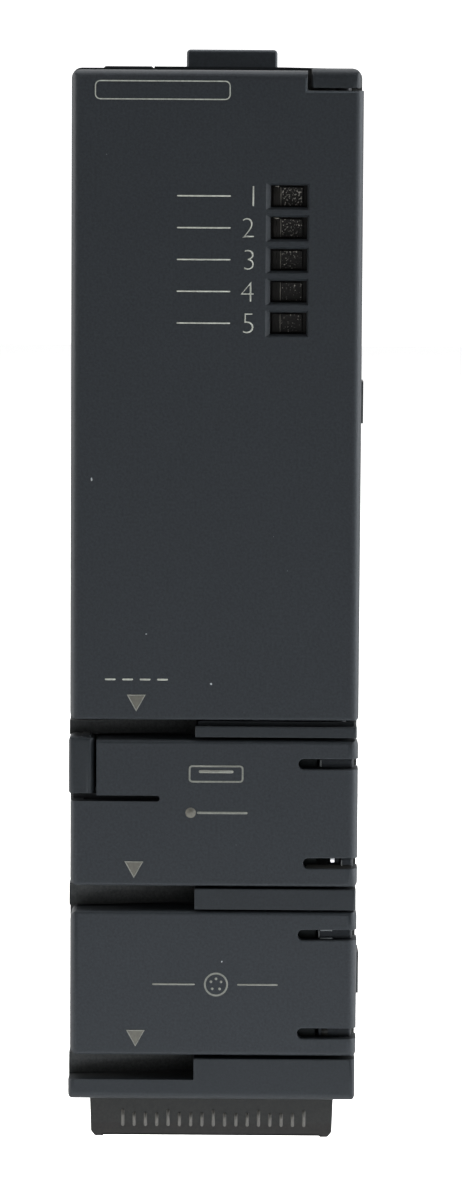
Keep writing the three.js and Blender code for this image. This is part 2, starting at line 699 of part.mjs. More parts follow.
function serialHousing() {
  const p = SERIAL_PORT;
  const half = p.size / 2;
  const body = block([p.x - half, p.x + half], [PANEL_BACK + 0.2, p.y[1]], [p.z - half, p.z + half]);
  const collar = rod("y", [p.x, p.z], 5.6, [p.y[0] - 0.5, PANEL_BACK + 1], 32);
  const bore = rod("y", [p.x, p.z], p.bore, [p.y[0] - 2, p.y[1] - 1.5], 32);
  return cut(body.add(collar), bore);
}

function serialShield() {
  const p = SERIAL_PORT;
  const along = [p.y[0] - 0.3, p.y[1] - 1.8];
  const outside = rod("y", [p.x, p.z], p.bore - 0.1, along, 32);
  const inside = rod("y", [p.x, p.z], p.bore - 0.4, [along[0] - 1, along[1] + 1], 32);
  return cut(outside, inside);
}

function serialInsert() {
  const p = SERIAL_PORT;
  const body = rod("y", [p.x, p.z], 3.5, [p.y[0] + 0.6, p.y[1] - 1.8], 24);
  const key = block([p.x - 0.7, p.x + 0.7], [p.y[0], p.y[0] + 4], [p.z + 1.1, p.z + 2.2]);
  const holes = [20, 90, 160, 215, 270, 325].map((degrees) => {
    const angle = THREE.MathUtils.degToRad(degrees);
    const at = [p.x + 2.35 * Math.cos(angle), p.z + 2.35 * Math.sin(angle)];
    return rod("y", at, 0.42, [p.y[0] - 1, p.y[0] + 5], 8);
  });
  return cut(body, ...holes, block([p.x - 0.8, p.x + 0.8], [p.y[0] - 1, p.y[0] + 4.5], [p.z - 0.6, p.z + 0.9]));
}

function busHousing() {
  const outside = block([BUS.x - BUS.wide / 2, BUS.x + BUS.wide / 2], BUS.y, BUS.z);
  const mouth = block(
    [BUS.x - 1.9, BUS.x + 1.9],
    [BUS.y[0] + 1.4, 1],
    [BUS.z[0] + 1.2, BUS.z[1] - 1.2],
  );
  return cut(outside, mouth);
}

// One row of contacts: fingers standing in the connector's mouth, joined by their carrier strip.
function busContacts(side) {
  const x = BUS.x + side * 1.55;
  const fingers = [];
  const first = -((BUS.contacts - 1) * BUS.pitch) / 2;
  for (let i = 0; i < BUS.contacts; i++) {
    const z = first + i * BUS.pitch;
    fingers.push(block([x - 0.2, x + 0.2], [BUS.y[0] + 1.8, -1.6], [z - 0.25, z + 0.25]));
  }
  const end = (BUS.contacts * BUS.pitch) / 2;
  const carrier = block([x - 0.2, x + 0.2], [BUS.y[0] + 1.55, BUS.y[0] + 2], [-end, end]);
  return join(carrier, ...fingers);
}

function switchBody() {
  const face = MAIN_BOARD.x[1];
  const body = block([face + 0.1, face + 5.8], [PANEL_BACK + 0.4, -76], [SWITCH.z - 6, SWITCH.z + 6]);
  const slot = block([SWITCH.x - 0.9, SWITCH.x + 0.9], [-84, -79.4], [SWITCH.z - 3.1, SWITCH.z + 3.1]);
  return cut(body, slot);
}

function switchLever() {
  const shoe = block([SWITCH.x - 0.7, SWITCH.x + 0.7], [-81.6, -79.6], [SWITCH.z - 1.4, SWITCH.z + 1.4]);
  const stem = block([SWITCH.x - 0.6, SWITCH.x + 0.6], [FRONT + 2.0, -81], [SWITCH.z - 0.9, SWITCH.z + 0.9]);
  return shoe.add(stem);
}

function ledLens() {
  const outside = block([3.3, 9.5], [FRONT + 1.65, PANEL_FRONT - 0.1], [23.1, 39.1]);
  const inside = block([4.0, 8.8], [FRONT + 2.5, PANEL_FRONT + 1], [23.8, 38.4]);
  return cut(outside, inside);
}

function led(index) {
  const z = WINDOW.top - WINDOW.high / 2 - index * WINDOW.pitch;
  const body = block([6.1, 8.1], [FRONT + 2.75, FRONT + 5.4], [z - 0.85, z + 0.85]);
  const step = block([6.05, 6.5], [FRONT + 2.6, FRONT + 2.9], [z - 0.6, z + 0.6]);
  return body.add(step);
}

function capacitor(y, z) {
  const face = SUB_BOARD.x[1];
  return join(
    rod("x", [y, z], 3.1, [face + 0.3, face + 5.6], 20),
    block([face + 0.1, face + 0.9], [y - 3.3, y + 3.3], [z - 3.3, z + 3.3]),
  );
}

// ---------------------------------------------------------------- battery
function batteryCell() {
  const [front, rear] = BATTERY.y;
  const body = rod("y", [BATTERY.x, BATTERY.z], BATTERY.radius, [front, rear], 32);
  const cap = rod("y", [BATTERY.x, BATTERY.z], 2.6, [rear - 0.5, rear + 1.0], ROUND);
  return body.add(cap);
}

// A cradle over the cell, between the main board and the side cover.
function batteryCradle() {
  const reach = BATTERY.radius + 1.15;
  const along = [-69.2, -47];
  const x = [BATTERY.x - reach, BATTERY.x + reach];
  const saddle = block(x, along, [-46.0, -29.8]);
  const hollow = join(
    rod("y", [BATTERY.x, BATTERY.z], BATTERY.radius + 0.3, [-68.3, along[1] + 1], 32),
    block([BATTERY.x - BATTERY.radius - 0.3, BATTERY.x + BATTERY.radius + 0.3], [-68.3, -40], [-50, BATTERY.z]),
  );
  return cut(
    saddle,
    hollow,
    // clear of the guide rail of the main board, and lighter above
    block([x[0] - 1, -5.6], [along[0] - 1, along[1] + 1], [-50, -43.4]),
    block([BATTERY.x - 3.6, BATTERY.x + 3.6], [-65, -51], [-34, -28]),
  );
}

// A lead that the case holds all the way, from the cell's rear end to its plug on the main board.
function batteryLead(shift) {
  const rear = BATTERY.y[1];
  const path = new THREE.CatmullRomCurve3([
    new THREE.Vector3(BATTERY.x + 3.6 * shift, rear + 0.2, BATTERY.z + 4.2),
    new THREE.Vector3(BATTERY.x + 3.4 * shift, rear + 2.6, BATTERY.z + 4.4),
    new THREE.Vector3(BATTERY.x + 1.5 * shift - 1, rear + 4.8, BATTERY.z + 7 + shift),
    new THREE.Vector3(BATTERY.x - 3 + 0.8 * shift, rear + 4.6, BATTERY.z + 11 + shift * 0.8),
    new THREE.Vector3(-3.4, rear + 2.8, BATTERY.z + 13.4 + shift * 0.85),
    new THREE.Vector3(-3.4, PLUG.y[1] + 0.15, BATTERY.z + 13.4 + shift * 0.95),
  ]);
  return solid(tube(path, 0.55, 22, 8));
}

function batteryHeader() {
  const face = MAIN_BOARD.x[1];
  const body = block([face + 0.1, PLUG.x[0] + 0.6], [PLUG.y[0] - 4.4, PLUG.y[1] - 1.2], [-29.6, -22.0]);
  const shroud = block([face + 0.1, PLUG.x[1] + 0.9], [PLUG.y[0] - 4.4, PLUG.y[0] - 1.0], [-29.6, -22.0]);
  const room = block([PLUG.x[0] - 0.15, 1], [PLUG.y[0] - 0.2, PLUG.y[1] + 1], [-28.8, -22.8]);
  return cut(body.add(shroud), room);
}

function batteryPlug() {
  return cut(
    block(PLUG.x, PLUG.y, PLUG.z),
    block([PLUG.x[1] - 0.5, PLUG.x[1] + 1], [PLUG.y[0] + 1.5, PLUG.y[0] + 3.5], [-27.4, -24.2]),
  );
}

// ---------------------------------------------------------------- assembly
const enclosure = new THREE.Group();
const doors = new THREE.Group();
const electronics = new THREE.Group();
const power = new THREE.Group();
root.add(enclosure, doors, electronics, power);

add("front_case", frontCase(), CASE, [0, PANEL_FRONT, 0], enclosure);
add("main_case", mainCase(), CASE, [0, 0, 0], enclosure);
add("side_cover", sideCover(), CASE, [RIGHT, -38, 0], enclosure);
add(
  "rating_label",
  block([RIGHT - 0.25, RIGHT - 0.05], [-61.5, -16.5], [-23.5, 23.5]),
  LABEL,
  [RIGHT, -39, 0],
  enclosure,
);
add("led_lens", ledLens(), SMOKED, [6.4, PANEL_FRONT, 31.1], enclosure);

add("front_cover", frontDoor(), CASE, [HINGE.x, HINGE.y, 0], doors);
add("usb_cover", usbDoor(), CASE, [HINGE.x, HINGE.y, 0], doors);
add("serial_cover", portDoor(SERIAL_DOOR, SERIAL_EARS, -41.5), CASE, [HINGE.x, HINGE.y, 0], doors);
add("battery_cover", batteryDoor(), CASE, [0, BATTERY_HINGE.y, BATTERY_HINGE.z], doors);

const hookAt = [HOOK.x, HOOK.pivotY, HOOK.pivotZ];
add("fixing_hook", fixingHook(), CASE, hookAt, enclosure);
const pinHalf = HOOK_POCKET.half + 0.7;
add(
  "hook_pin",
  rod("x", [HOOK.pivotY, HOOK.pivotZ], HOOK.pin, [HOOK.x - pinHalf, HOOK.x + pinHalf]),
  STEEL,
  hookAt,
  enclosure,
);
add("hook_spring", hookSpring(), STEEL, [HOOK.x, SPRING.y, HOOK_POCKET.floor], enclosure);

const boardFace = MAIN_BOARD.x[1];
const subFace = SUB_BOARD.x[1];
add("main_board", mainBoard(), BOARD, [boardFace, -44, 0], electronics);
add("sub_board", subBoard(), BOARD, [subFace, -58, 17], electronics);
BOARD_SCREWS.forEach((at, i) =>
  add(`board_screw_${i + 1}`, boardScrew(at), STEEL, [boardFace, ...at], electronics),
);
add("processor_chip", chip(boardFace, -50, 12, 20, 20, 1.6, 22), CHIP, [boardFace, -50, 12], electronics);
add("bus_chip", chip(boardFace, -24, 8, 14, 14, 1.4, 16), CHIP, [boardFace, -24, 8], electronics);
[-17, 30].forEach((z, i) =>
  add(`memory_chip_${i + 1}`, chip(boardFace, -46, z, 12, 8, 1.1, 10), CHIP, [boardFace, -46, z], electronics),
);
add(
  "oscillator",
  block([boardFace + 0.1, boardFace + 1.5], [-68.5, -63.5], [10.4, 13.6]),
  STEEL,
  [boardFace, -66, 12],
  electronics,
);
add("power_chip", chip(subFace, -62, 8, 5, 6, 1.4, 4), CHIP, [subFace, -62, 8], electronics);
add(
  "power_inductor",
  block([subFace + 0.1, subFace + 4.1], [-55, -48], [4.5, 11.5]),
  BLACK,
  [subFace, -51.5, 8],
  electronics,
);
[
  [-40, 8],
  [-40, -3],
].forEach(([y, z], i) =>
  add(`capacitor_${i + 1}`, capacitor(y, z), STEEL, [subFace, y, z], electronics),
);
const LINK = { y: [-38, -34.5], z: [16, 36], split: -1.3 };
add(
  "board_link_socket",
  block([boardFace + 0.1, LINK.split - 0.1], LINK.y, LINK.z),
  IVORY,
  [boardFace, -36, 26],
  electronics,
);
add(
  "board_link_header",
  block([LINK.split + 0.1, SUB_BOARD.x[0] - 0.1], [LINK.y[0] + 0.4, LINK.y[1] - 0.4], LINK.z),
  BLACK,
  [SUB_BOARD.x[0], -36, 26],
  electronics,
);
for (let i = 0; i < WINDOW.count; i++)
  add(
    `led_${i + 1}`,
    led(i),
    LED_BODY,
    [subFace, FRONT + 4, WINDOW.top - WINDOW.high / 2 - i * WINDOW.pitch],
    electronics,
  );
const switchAt = [SWITCH.x, PANEL_FRONT, SWITCH.z];
add("mode_switch_body", switchBody(), BLACK, switchAt, electronics);
add("mode_switch_lever", switchLever(), IVORY, switchAt, electronics);
const usbAt = [USB_PORT.x, USB_PORT.y[0], USB_PORT.z];
add("usb_port_shell", usbShell(), STEEL, usbAt, electronics);
add("usb_port_tongue", usbTongue(), BLACK, usbAt, electronics);
const serialAt = [SERIAL_PORT.x, SERIAL_PORT.y[0], SERIAL_PORT.z];
add("serial_port_housing", serialHousing(), BLACK, serialAt, electronics);
add("serial_port_shield", serialShield(), STEEL, serialAt, electronics);
add("serial_port_insert", serialInsert(), BLACK, serialAt, electronics);
const busAt = [BUS.x, BUS.y[0], 0];
add("bus_connector", busHousing(), BLACK, busAt, electronics);
add("bus_contacts_left", busContacts(-1), GOLD, busAt, electronics);
add("bus_contacts_right", busContacts(1), GOLD, busAt, electronics);

const cellAt = [BATTERY.x, BATTERY.y[0], BATTERY.z];
add("battery_cell", batteryCell(), BATTERY_WRAP, cellAt, power);
add("battery_cradle", batteryCradle(), BLACK, cellAt, power);
add("battery_header", batteryHeader(), IVORY, [boardFace, PLUG.y[0], -25.8], power);
add("battery_plug", batteryPlug(), IVORY, [PLUG.x[0], PLUG.y[0], -25.8], power);
add("battery_lead_red", batteryLead(1), RED, cellAt, power);
add("battery_lead_black", batteryLead(-1), BLACK, cellAt, power);

export default root;
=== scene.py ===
"""The looks of the controller module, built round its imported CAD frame.

Everything is drawn in millimetres in the part's own frame (+X right, +Y towards the rack, +Z up),
and turned into metres when a piece is finished.
"""

import json
import math

import bmesh
import bpy
from mathutils import Matrix, Quaternion, Vector


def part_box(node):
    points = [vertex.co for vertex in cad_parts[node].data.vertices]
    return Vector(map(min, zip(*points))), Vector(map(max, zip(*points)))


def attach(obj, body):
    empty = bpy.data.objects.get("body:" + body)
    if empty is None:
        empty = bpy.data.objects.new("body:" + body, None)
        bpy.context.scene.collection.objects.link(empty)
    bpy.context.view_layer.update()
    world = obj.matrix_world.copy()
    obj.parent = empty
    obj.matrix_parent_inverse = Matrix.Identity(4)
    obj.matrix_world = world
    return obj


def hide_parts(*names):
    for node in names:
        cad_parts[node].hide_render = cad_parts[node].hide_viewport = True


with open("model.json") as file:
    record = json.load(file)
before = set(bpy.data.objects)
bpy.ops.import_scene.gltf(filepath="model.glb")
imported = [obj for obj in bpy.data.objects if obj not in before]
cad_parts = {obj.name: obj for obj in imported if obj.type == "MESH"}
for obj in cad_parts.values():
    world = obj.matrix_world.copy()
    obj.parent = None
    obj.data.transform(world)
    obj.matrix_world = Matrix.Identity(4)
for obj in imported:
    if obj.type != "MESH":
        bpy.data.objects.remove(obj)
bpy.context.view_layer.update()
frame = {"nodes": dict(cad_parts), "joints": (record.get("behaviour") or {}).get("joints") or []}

MM = 0.001


def node_box(node):
    """The CAD node's x, y and z spans, in millimetres."""
    low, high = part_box(node)
    return [(low[i] / MM, high[i] / MM) for i in range(3)]


# ---------------- main dimensions, from the frame
FRONT_DOOR = node_box("front_cover")
USB_DOOR = node_box("usb_cover")
SERIAL_DOOR = node_box("serial_cover")
FRAME = node_box("front_case")
CASE = node_box("main_case")
BATTERY_DOOR = node_box("battery_cover")
HOOK = node_box("fixing_hook")
LENS = node_box("led_lens")
SIDE = node_box("side_cover")


def pivot(name):
    """A joint's place in the frame, in millimetres."""
    joint = next(j for j in frame["joints"] if j["name"] == name)
    return tuple(v / MM for v in joint["pos_m"])


DOOR_PIN = PIN_X, PIN_Y = pivot("front_cover_hinge")[:2]
HOOK_PIN = HOOK_PIN_Y, _ = pivot("fixing_hook_pivot")[1:]
BAY_PIN = BAY_PIN_Y, BAY_PIN_Z = pivot("battery_cover_hinge")[1:]

# depths, from the doors' faces back
FRONT = FRONT_DOOR[1][0]
TRAY_FRONT = FRONT + 2.8
DOOR_BACK = FRONT + 4.6
PANEL = FRONT + 4.9
FRAME_BACK = PANEL + 10.5
LIP_BACK = FRAME[1][1]
CASE_FRONT = FRAME_BACK + 0.2

# the case's outline, and what stands at set places in it
(LEFT, RIGHT), _, (_, TOP) = CASE
BOTTOM = -TOP
WALL = 1.5
SNAP_HEIGHTS = (-30, 30)
SNAP_DEPTH = (FRAME_BACK + 1.5, FRAME_BACK + 3.7)
PEG_HEIGHTS = (-8, -25, -41.5)
HOOK_X = (HOOK[0][0] + HOOK[0][1]) / 2
TAB_PEG_X = 5.6
RECESS_RIGHT = -1.7
WINDOWS = {"left": 5.1, "right": 8.55, "top": 38.05, "high": 2.05, "pitch": 2.975, "count": 5}

# edges turned by more than this are true edges, to be eased
SHARP = math.radians(38)
# corners closer than this are one corner
WELD = 0.0005

# ---------------- solid modelling
scratch = bpy.data.collections.new("scratch")
bpy.context.scene.collection.children.link(scratch)


def from_bmesh(bm):
    """A scratch object holding bm's mesh, with its faces looking out."""
    bmesh.ops.recalc_face_normals(bm, faces=bm.faces)
    mesh = bpy.data.meshes.new("solid")
    bm.to_mesh(mesh)
    bm.free()
    made = bpy.data.objects.new("solid", mesh)
    scratch.objects.link(made)
    return made


def loft(rings):
    """A closed solid through rings of points that all have the same count."""
    bm = bmesh.new()
    rows = [[bm.verts.new(p) for p in ring] for ring in rings]
    for low, high in zip(rows, rows[1:]):
        for i in range(len(low)):
            j = (i + 1) % len(low)
            bm.faces.new((low[i], low[j], high[j], high[i]))
    bm.faces.new(rows[0])
    bm.faces.new(rows[-1])
    return from_bmesh(bm)


def place(axis, a, b, c):
    """The point at c along axis, with a and b along the other two axes in X, Y, Z order."""
    if axis == "x":
        return (c, a, b)
    if axis == "y":
        return (a, c, b)
    return (a, b, c)


def prism(axis, outline, span):
    return loft([[place(axis, a, b, c) for a, b in outline] for c in span])


def box(x, y, z):
    return prism("z", [(x[0], y[0]), (x[1], y[0]), (x[1], y[1]), (x[0], y[1])], z)


def circle(centre, radius, sides=32):
    turns = [2 * math.pi * i / sides for i in range(sides)]
    return [(centre[0] + radius * math.cos(t), centre[1] + radius * math.sin(t)) for t in turns]


def rod(axis, centre, radius, span, sides=32, ease=0.0):
    """A round bar, with its ends eased by ease."""
    low, high = span
    rings = [(radius, low + ease), (radius, high - ease)]
    if ease:
        rings = [(radius - ease, low), *rings, (radius - ease, high)]
    return loft([[place(axis, a, b, c) for a, b in circle(centre, r, sides)] for r, c in rings])


def ccw(points):
    area = sum(p[0] * q[1] - q[0] * p[1] for p, q in zip(points, points[1:] + points[:1]))
    return points if area > 0 else points[::-1]


def rounded(corners, steps=5):
    """An outline from (a, b, radius) corners, each rounded by an arc."""
    out = []
    count = len(corners)
    for i, (a, b, radius) in enumerate(corners):
        here = Vector((a, b))
        before = (Vector(corners[i - 1][:2]) - here).normalized()
        after = (Vector(corners[(i + 1) % count][:2]) - here).normalized()
        if radius <= 0:
            out.append((a, b))
            continue
        half = before.angle(after) / 2
        reach = radius / math.tan(half)
        middle = here + (before + after).normalized() * radius / math.sin(half)
        start = here + before * reach - middle
        end = here + after * reach - middle
        turn = math.atan2(start.x * end.y - start.y * end.x, start.dot(end))
        for k in range(steps + 1):
            spin = Matrix.Rotation(turn * k / steps, 2)
            out.append(tuple(middle + spin @ start))
    return ccw(out)


def frame_outline(a, b, radius, steps=5):
    """A rounded rectangle; radius is one number, or four from the low corner anticlockwise."""
    r = radius if isinstance(radius, (tuple, list)) else (radius,) * 4
    return rounded([(a[0], b[0], r[0]), (a[1], b[0], r[1]), (a[1], b[1], r[2]), (a[0], b[1], r[3])], steps)


def inset(outline, by):
    """The outline moved inwards by a distance, or outwards when by is negative."""
    out = []
    count = len(outline)
    for i, p in enumerate(outline):
        p = Vector(p)
        before = (p - Vector(outline[i - 1])).normalized()
        after = (Vector(outline[(i + 1) % count]) - p).normalized()
        n1 = Vector((-before.y, before.x))
        n2 = Vector((-after.y, after.x))
        n = n1 + n2
        n = n / max(n.dot(n1), 1e-6)
        out.append(tuple(p + n * by))
    return out


def eased(axis, outline, span, front=0.0, back=0.0, steps=4):
    """A prism whose rims at the low and high end are rounded by front and back."""
    low, high = span
    rings = []
    for k in range(steps + 1 if front else 1):
        t = math.pi / 2 * k / steps
        rings.append((front * (1 - math.sin(t)), low + front * (1 - math.cos(t))))
    for k in range(steps + 1 if back else 1):
        t = math.pi / 2 * (1 - k / steps)
        rings.append((back * (1 - math.sin(t)), high - back * (1 - math.cos(t))))
    return loft([[place(axis, a, b, c) for a, b in inset(outline, by)] for by, c in rings])


def boolean(kind, base, tools):
    tools = list(tools)
    for tool in tools:
        step = base.modifiers.new("boolean", "BOOLEAN")
        step.operation = kind
        step.solver = "MANIFOLD"
        step.object = tool
    graph = bpy.context.evaluated_depsgraph_get()
    made = bpy.data.meshes.new_from_object(base.evaluated_get(graph))
    base.modifiers.clear()
    old = base.data
    base.data = made
    bpy.data.meshes.remove(old)
    for tool in tools:
        mesh = tool.data
        bpy.data.objects.remove(tool)
        bpy.data.meshes.remove(mesh)
    return base


def cut(base, *tools):
    return boolean("DIFFERENCE", base, tools)


def join(base, *tools):
    return boolean("UNION", base, tools)


def common(base, *tools):
    return boolean("INTERSECT", base, tools)


def window(outline, front, back, flare):
    """A cutter through a front face, opening out by flare at the face with a soft edge."""
    out = ccw(outline)
    steps = 3
    rings = [(-flare, front - 1)]
    for k in range(steps + 1):
        t = math.pi / 2 * k / steps
        rings.append((-flare * (1 - math.sin(t)), front + flare * (1 - math.cos(t))))
    rings.append((0, back))
    return loft([[place("y", a, b, c) for a, b in inset(out, by)] for by, c in rings])


def tidy(bm):
    """Joins flat neighbouring faces, so that only true edges are left to be eased."""
    bmesh.ops.remove_doubles(bm, verts=bm.verts, dist=WELD)
    bmesh.ops.dissolve_degenerate(bm, dist=WELD, edges=bm.edges)
    bmesh.ops.dissolve_limit(
        bm, angle_limit=math.radians(0.6), verts=bm.verts, edges=bm.edges, delimit={"MATERIAL"}
    )


def ease_edges(made, width, segments=3):
    """Rounds a solid's edges now, so that holes can be cut in it afterwards."""
    bm = bmesh.new()
    bm.from_mesh(made.data)
    tidy(bm)
    sharp = [e for e in bm.edges if len(e.link_faces) == 2 and e.calc_face_angle(0) > SHARP]
    shape = {"offset_type": "OFFSET", "segments": segments, "profile": 0.5, "affect": "EDGES"}
    bmesh.ops.bevel(bm, geom=sharp, offset=width, clamp_overlap=True, **shape)
    bmesh.ops.triangulate(bm, faces=bm.faces)
    bm.to_mesh(made.data)
    bm.free()
    return made


def piece(name, made, material, body, replaces=(), ease=0.12, whole=False):
    """Finishes a solid as a named piece: metres, eased edges, material, body.

    whole leaves the faces as they are, for a solid with many holes in a flat wall.
    """
    bm = bmesh.new()
    bm.from_mesh(made.data)
    if whole:
        bmesh.ops.remove_doubles(bm, verts=bm.verts, dist=WELD)
        for edge in bm.edges:
            edge.smooth = len(edge.link_faces) == 2 and edge.calc_face_angle(0) < SHARP
    else:
        tidy(bm)
    bmesh.ops.scale(bm, vec=(MM, MM, MM), verts=bm.verts)
    for face in bm.faces:
        face.smooth = True
    bm.to_mesh(made.data)
    bm.free()
    made.name = name
    made.data.name = name
    scratch.objects.unlink(made)
    bpy.context.scene.collection.objects.link(made)
    soften(made, ease)
    made.data.materials.clear()
    made.data.materials.append(material)
    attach(made, body)
    if replaces:
        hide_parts(*replaces)
    return made


def soften(obj, ease, segments=2):
    """Rounds an object's true edges a little, and shades its flat faces flat."""
    if ease:
        bevel = obj.modifiers.new("ease", "BEVEL")
        bevel.width = ease * MM
        bevel.segments = segments
        bevel.limit_method = "ANGLE"
        bevel.angle_limit = SHARP
        bevel.use_clamp_overlap = True
        bevel.miter_outer = "MITER_ARC" if segments > 1 else "MITER_SHARP"
    even = obj.modifiers.new("even", "WEIGHTED_NORMAL")
    even.weight = 100
    even.keep_sharp = True


def polish(node, material, ease=0.15, segments=2):
    """A carried-over CAD node: its flat faces joined, its edges eased, its material changed."""
    obj = frame["nodes"][node]
    obj.data.materials.clear()
    obj.data.materials.append(material)
    if ease:
        weld = obj.modifiers.new("weld", "WELD")
        weld.merge_threshold = 0.001 * MM
        flat = obj.modifiers.new("flat", "DECIMATE")
        flat.decimate_type = "DISSOLVE"
        flat.angle_limit = math.radians(0.8)
        soften(obj, ease, segments)


# ---------------- materials
def srgb(r, g, b):
    def linear(v):
        v /= 255
        return v / 12.92 if v <= 0.04045 else ((v + 0.055) / 1.055) ** 2.4

    return (linear(r), linear(g), linear(b), 1.0)


def grey(v):
    return (v, v, v, 1.0)


def scaled(colour, by):
    """The colour made lighter or darker."""
    return tuple(min(c * by, 1) for c in colour[:3]) + (1.0,)


class Surface:
    """A material in the making: its shader, and the nodes that feed it."""

    def __init__(self, name):
        self.material = bpy.data.materials.new(name)
        self.material.use_nodes = True
        self.tree = self.material.node_tree
        self.shader = self.tree.nodes["Principled BSDF"]
        self.where = self.tree.nodes.new("ShaderNodeTexCoord").outputs["Object"]

    def fill(self, node, inputs):
        """Gives inputs their values, or links other nodes' outputs to them."""
        for name, value in inputs.items():
            if hasattr(value, "is_linked"):
                self.tree.links.new(value, node.inputs[name])
            else:
                node.inputs[name].default_value = value

    def add(self, kind, output, inputs, **settings):
        node = self.tree.nodes.new("ShaderNode" + kind)
        for name, value in settings.items():
            setattr(node, name, value)
        self.fill(node, inputs)
        return node.outputs[output]

    def noise(self, scale, detail, rough, where=None):
        where = self.where if where is None else where
        inputs = {"Vector": where, "Scale": scale, "Detail": detail, "Roughness": rough}
        return self.add("TexNoise", "Fac", inputs)

    def ramp(self, value, *stops):
        colour = self.add("ValToRGB", "Color", {"Fac": value})
        elements = colour.node.color_ramp.elements
        while len(elements) < len(stops):
            elements.new(0.5)
        for element, (at, shade) in zip(elements, stops):
            element.position = at
            element.color = shade
        return colour

    def mix(self, factor, a, b, blend="MIX"):
        return self.add("Mix", 2, {0: factor, 6: a, 7: b}, data_type="RGBA", blend_type=blend)

    def bump(self, height, strength, distance):
        inputs = {"Height": height, "Strength": strength, "Distance": distance}
        return self.add("Bump", "Normal", inputs)

    def axis(self, name):
        return self.add("SeparateXYZ", name, {0: self.where})

    def fade(self, value, low, high, to=(0.0, 1.0)):
        """Runs from one value to another as the input, in millimetres, goes from low to high."""
        inputs = {"Value": value, "From Min": low * MM, "From Max": high * MM}
        return self.add("MapRange", "Result", {**inputs, "To Min": to[0], "To Max": to[1]})

    def sum(self, operation, *values):
        return self.add("Math", 0, dict(enumerate(values)), operation=operation)

    def finish(self, inputs):
        self.fill(self.shader, inputs)
        return self.material


def moulded(
    name, colour, rough=0.55, grain=0.25, specks=False, specular=0.3, cloud=0.05, painted_depth_tone=None, foot=None
):
    """Textured moulded plastic: spark-eroded grain, faint clouding, and a little dust if specks.

    The tone for depth is painted light: a lighter colour for what lies well behind the front face,
    brightening the shaded recesses; foot is a darker, browner tone for the lowest band of the battery door.
    """
    made = Surface(name)
    clouds = made.noise(70, 5, 0.75)

    def toned(shade):
        base = srgb(*shade)
        return made.ramp(clouds, (0.3, scaled(base, 1 - cloud)), (0.7, scaled(base, 1 + cloud)))

    tone = toned(colour)
    # painted light: surfaces well behind the front face, away from the outer edges, take a lighter tone that
    # brightens the shaded recesses
    if painted_depth_tone:
        inside = made.fade(made.axis("Y"), FRONT + 0.9, FRONT + 3.6)
        for axis, limit in (("X", RIGHT - 0.08), ("Z", TOP - 0.15)):
            within = made.sum("LESS_THAN", made.sum("ABSOLUTE", made.axis(axis)), limit * MM)
            inside = made.sum("MULTIPLY", inside, within)
        tone = made.mix(inside, tone, toned(painted_depth_tone))
    # darker and browner towards the battery door's lower rim
    if foot:
        low = BATTERY_DOOR[2][0]
        tone = made.mix(made.fade(made.axis("Z"), low + 1.45, low + 1.2), tone, toned(foot))
    fine = made.noise(4200, 3, 0.65)
    speckle = made.ramp(fine, (0.34, grey(0.7)), (0.66, grey(1.3)))
    tone = made.mix(1.0, tone, speckle, "MULTIPLY")
    if specks:
        spots = made.ramp(made.noise(1500, 1, 0.4), (0.815, grey(0.0)), (0.83, grey(1.0)))
        tone = made.mix(spots, tone, srgb(120, 124, 126))
    rub = made.noise(160, 3, 0.6)
    looks = {
        "Base Color": tone,
        "Roughness": made.ramp(rub, (0.3, grey(rough - 0.012)), (0.7, grey(rough + 0.012))),
        "Specular IOR Level": specular,
        "Specular Tint": (0.84, 0.91, 1.0, 1.0),
        "Normal": made.bump(fine, grain, 0.00004),
    }
    return made.finish(looks)


def metal(name, colour, rough=0.3):
    """Plated or drawn metal with fine lines."""
    made = Surface(name)
    stretched = made.add("Mapping", "Vector", {"Vector": made.where, "Scale": (3000, 300, 300)})
    lines = made.noise(1.0, 4, 0.6, stretched)
    base = srgb(*colour)
    looks = {
        "Base Color": made.ramp(lines, (0.3, scaled(base, 0.75)), (0.7, base)),
        "Roughness": made.ramp(lines, (0.3, grey(rough + 0.1)), (0.7, grey(rough))),
        "Metallic": 1.0,
        "Normal": made.bump(lines, 0.12, 0.00002),
    }
    return made.finish(looks)


def printed(name, colour):
    """Pad-printed ink: slightly uneven cover."""
    made = Surface(name)
    base = srgb(*colour)
    cover = made.noise(3500, 2, 0.6)
    looks = {
        "Base Color": made.ramp(cover, (0.35, scaled(base, 0.72)), (0.6, base)),
        "Roughness": 0.6,
        "Normal": made.bump(cover, 0.15, 0.00001),
    }
    return made.finish(looks)


def smoked_lens(name, colour=(8, 7.5, 7)):
    """Dark smoked moulding with a few flow marks."""
    made = Surface(name)
    base = srgb(*colour)
    flow = made.noise(1600, 3, 0.7)
    looks = {
        "Base Color": made.ramp(flow, (0.4, base), (0.7, scaled(base, 1.5))),
        "Roughness": 0.3,
        "Specular IOR Level": 0.14,
        "Normal": made.bump(flow, 0.2, 0.00006),
    }
    return made.finish(looks)


def frosted(name):
    """A textured window face: dark, with bright glints painted into its colour as painted highlights,
    thinning out towards the lower windows.
    """
    made = Surface(name)
    glints = made.noise(5200, 2, 0.6)
    # painted highlights: fewer glints towards the lower windows
    total = made.sum("ADD", glints, made.fade(made.axis("Z"), 26, 37.5, (-0.072, 0.0)))
    dark, dim, bright = srgb(8, 7.5, 7), srgb(21, 20.5, 19), srgb(146, 144, 138)
    looks = {
        "Base Color": made.ramp(total, (0.42, dark), (0.57, dim), (0.65, bright)),
        "Roughness": 0.4,
        "Specular IOR Level": 0.14,
        "Normal": made.bump(glints, 0.4, 0.00008),
    }
    return made.finish(looks)


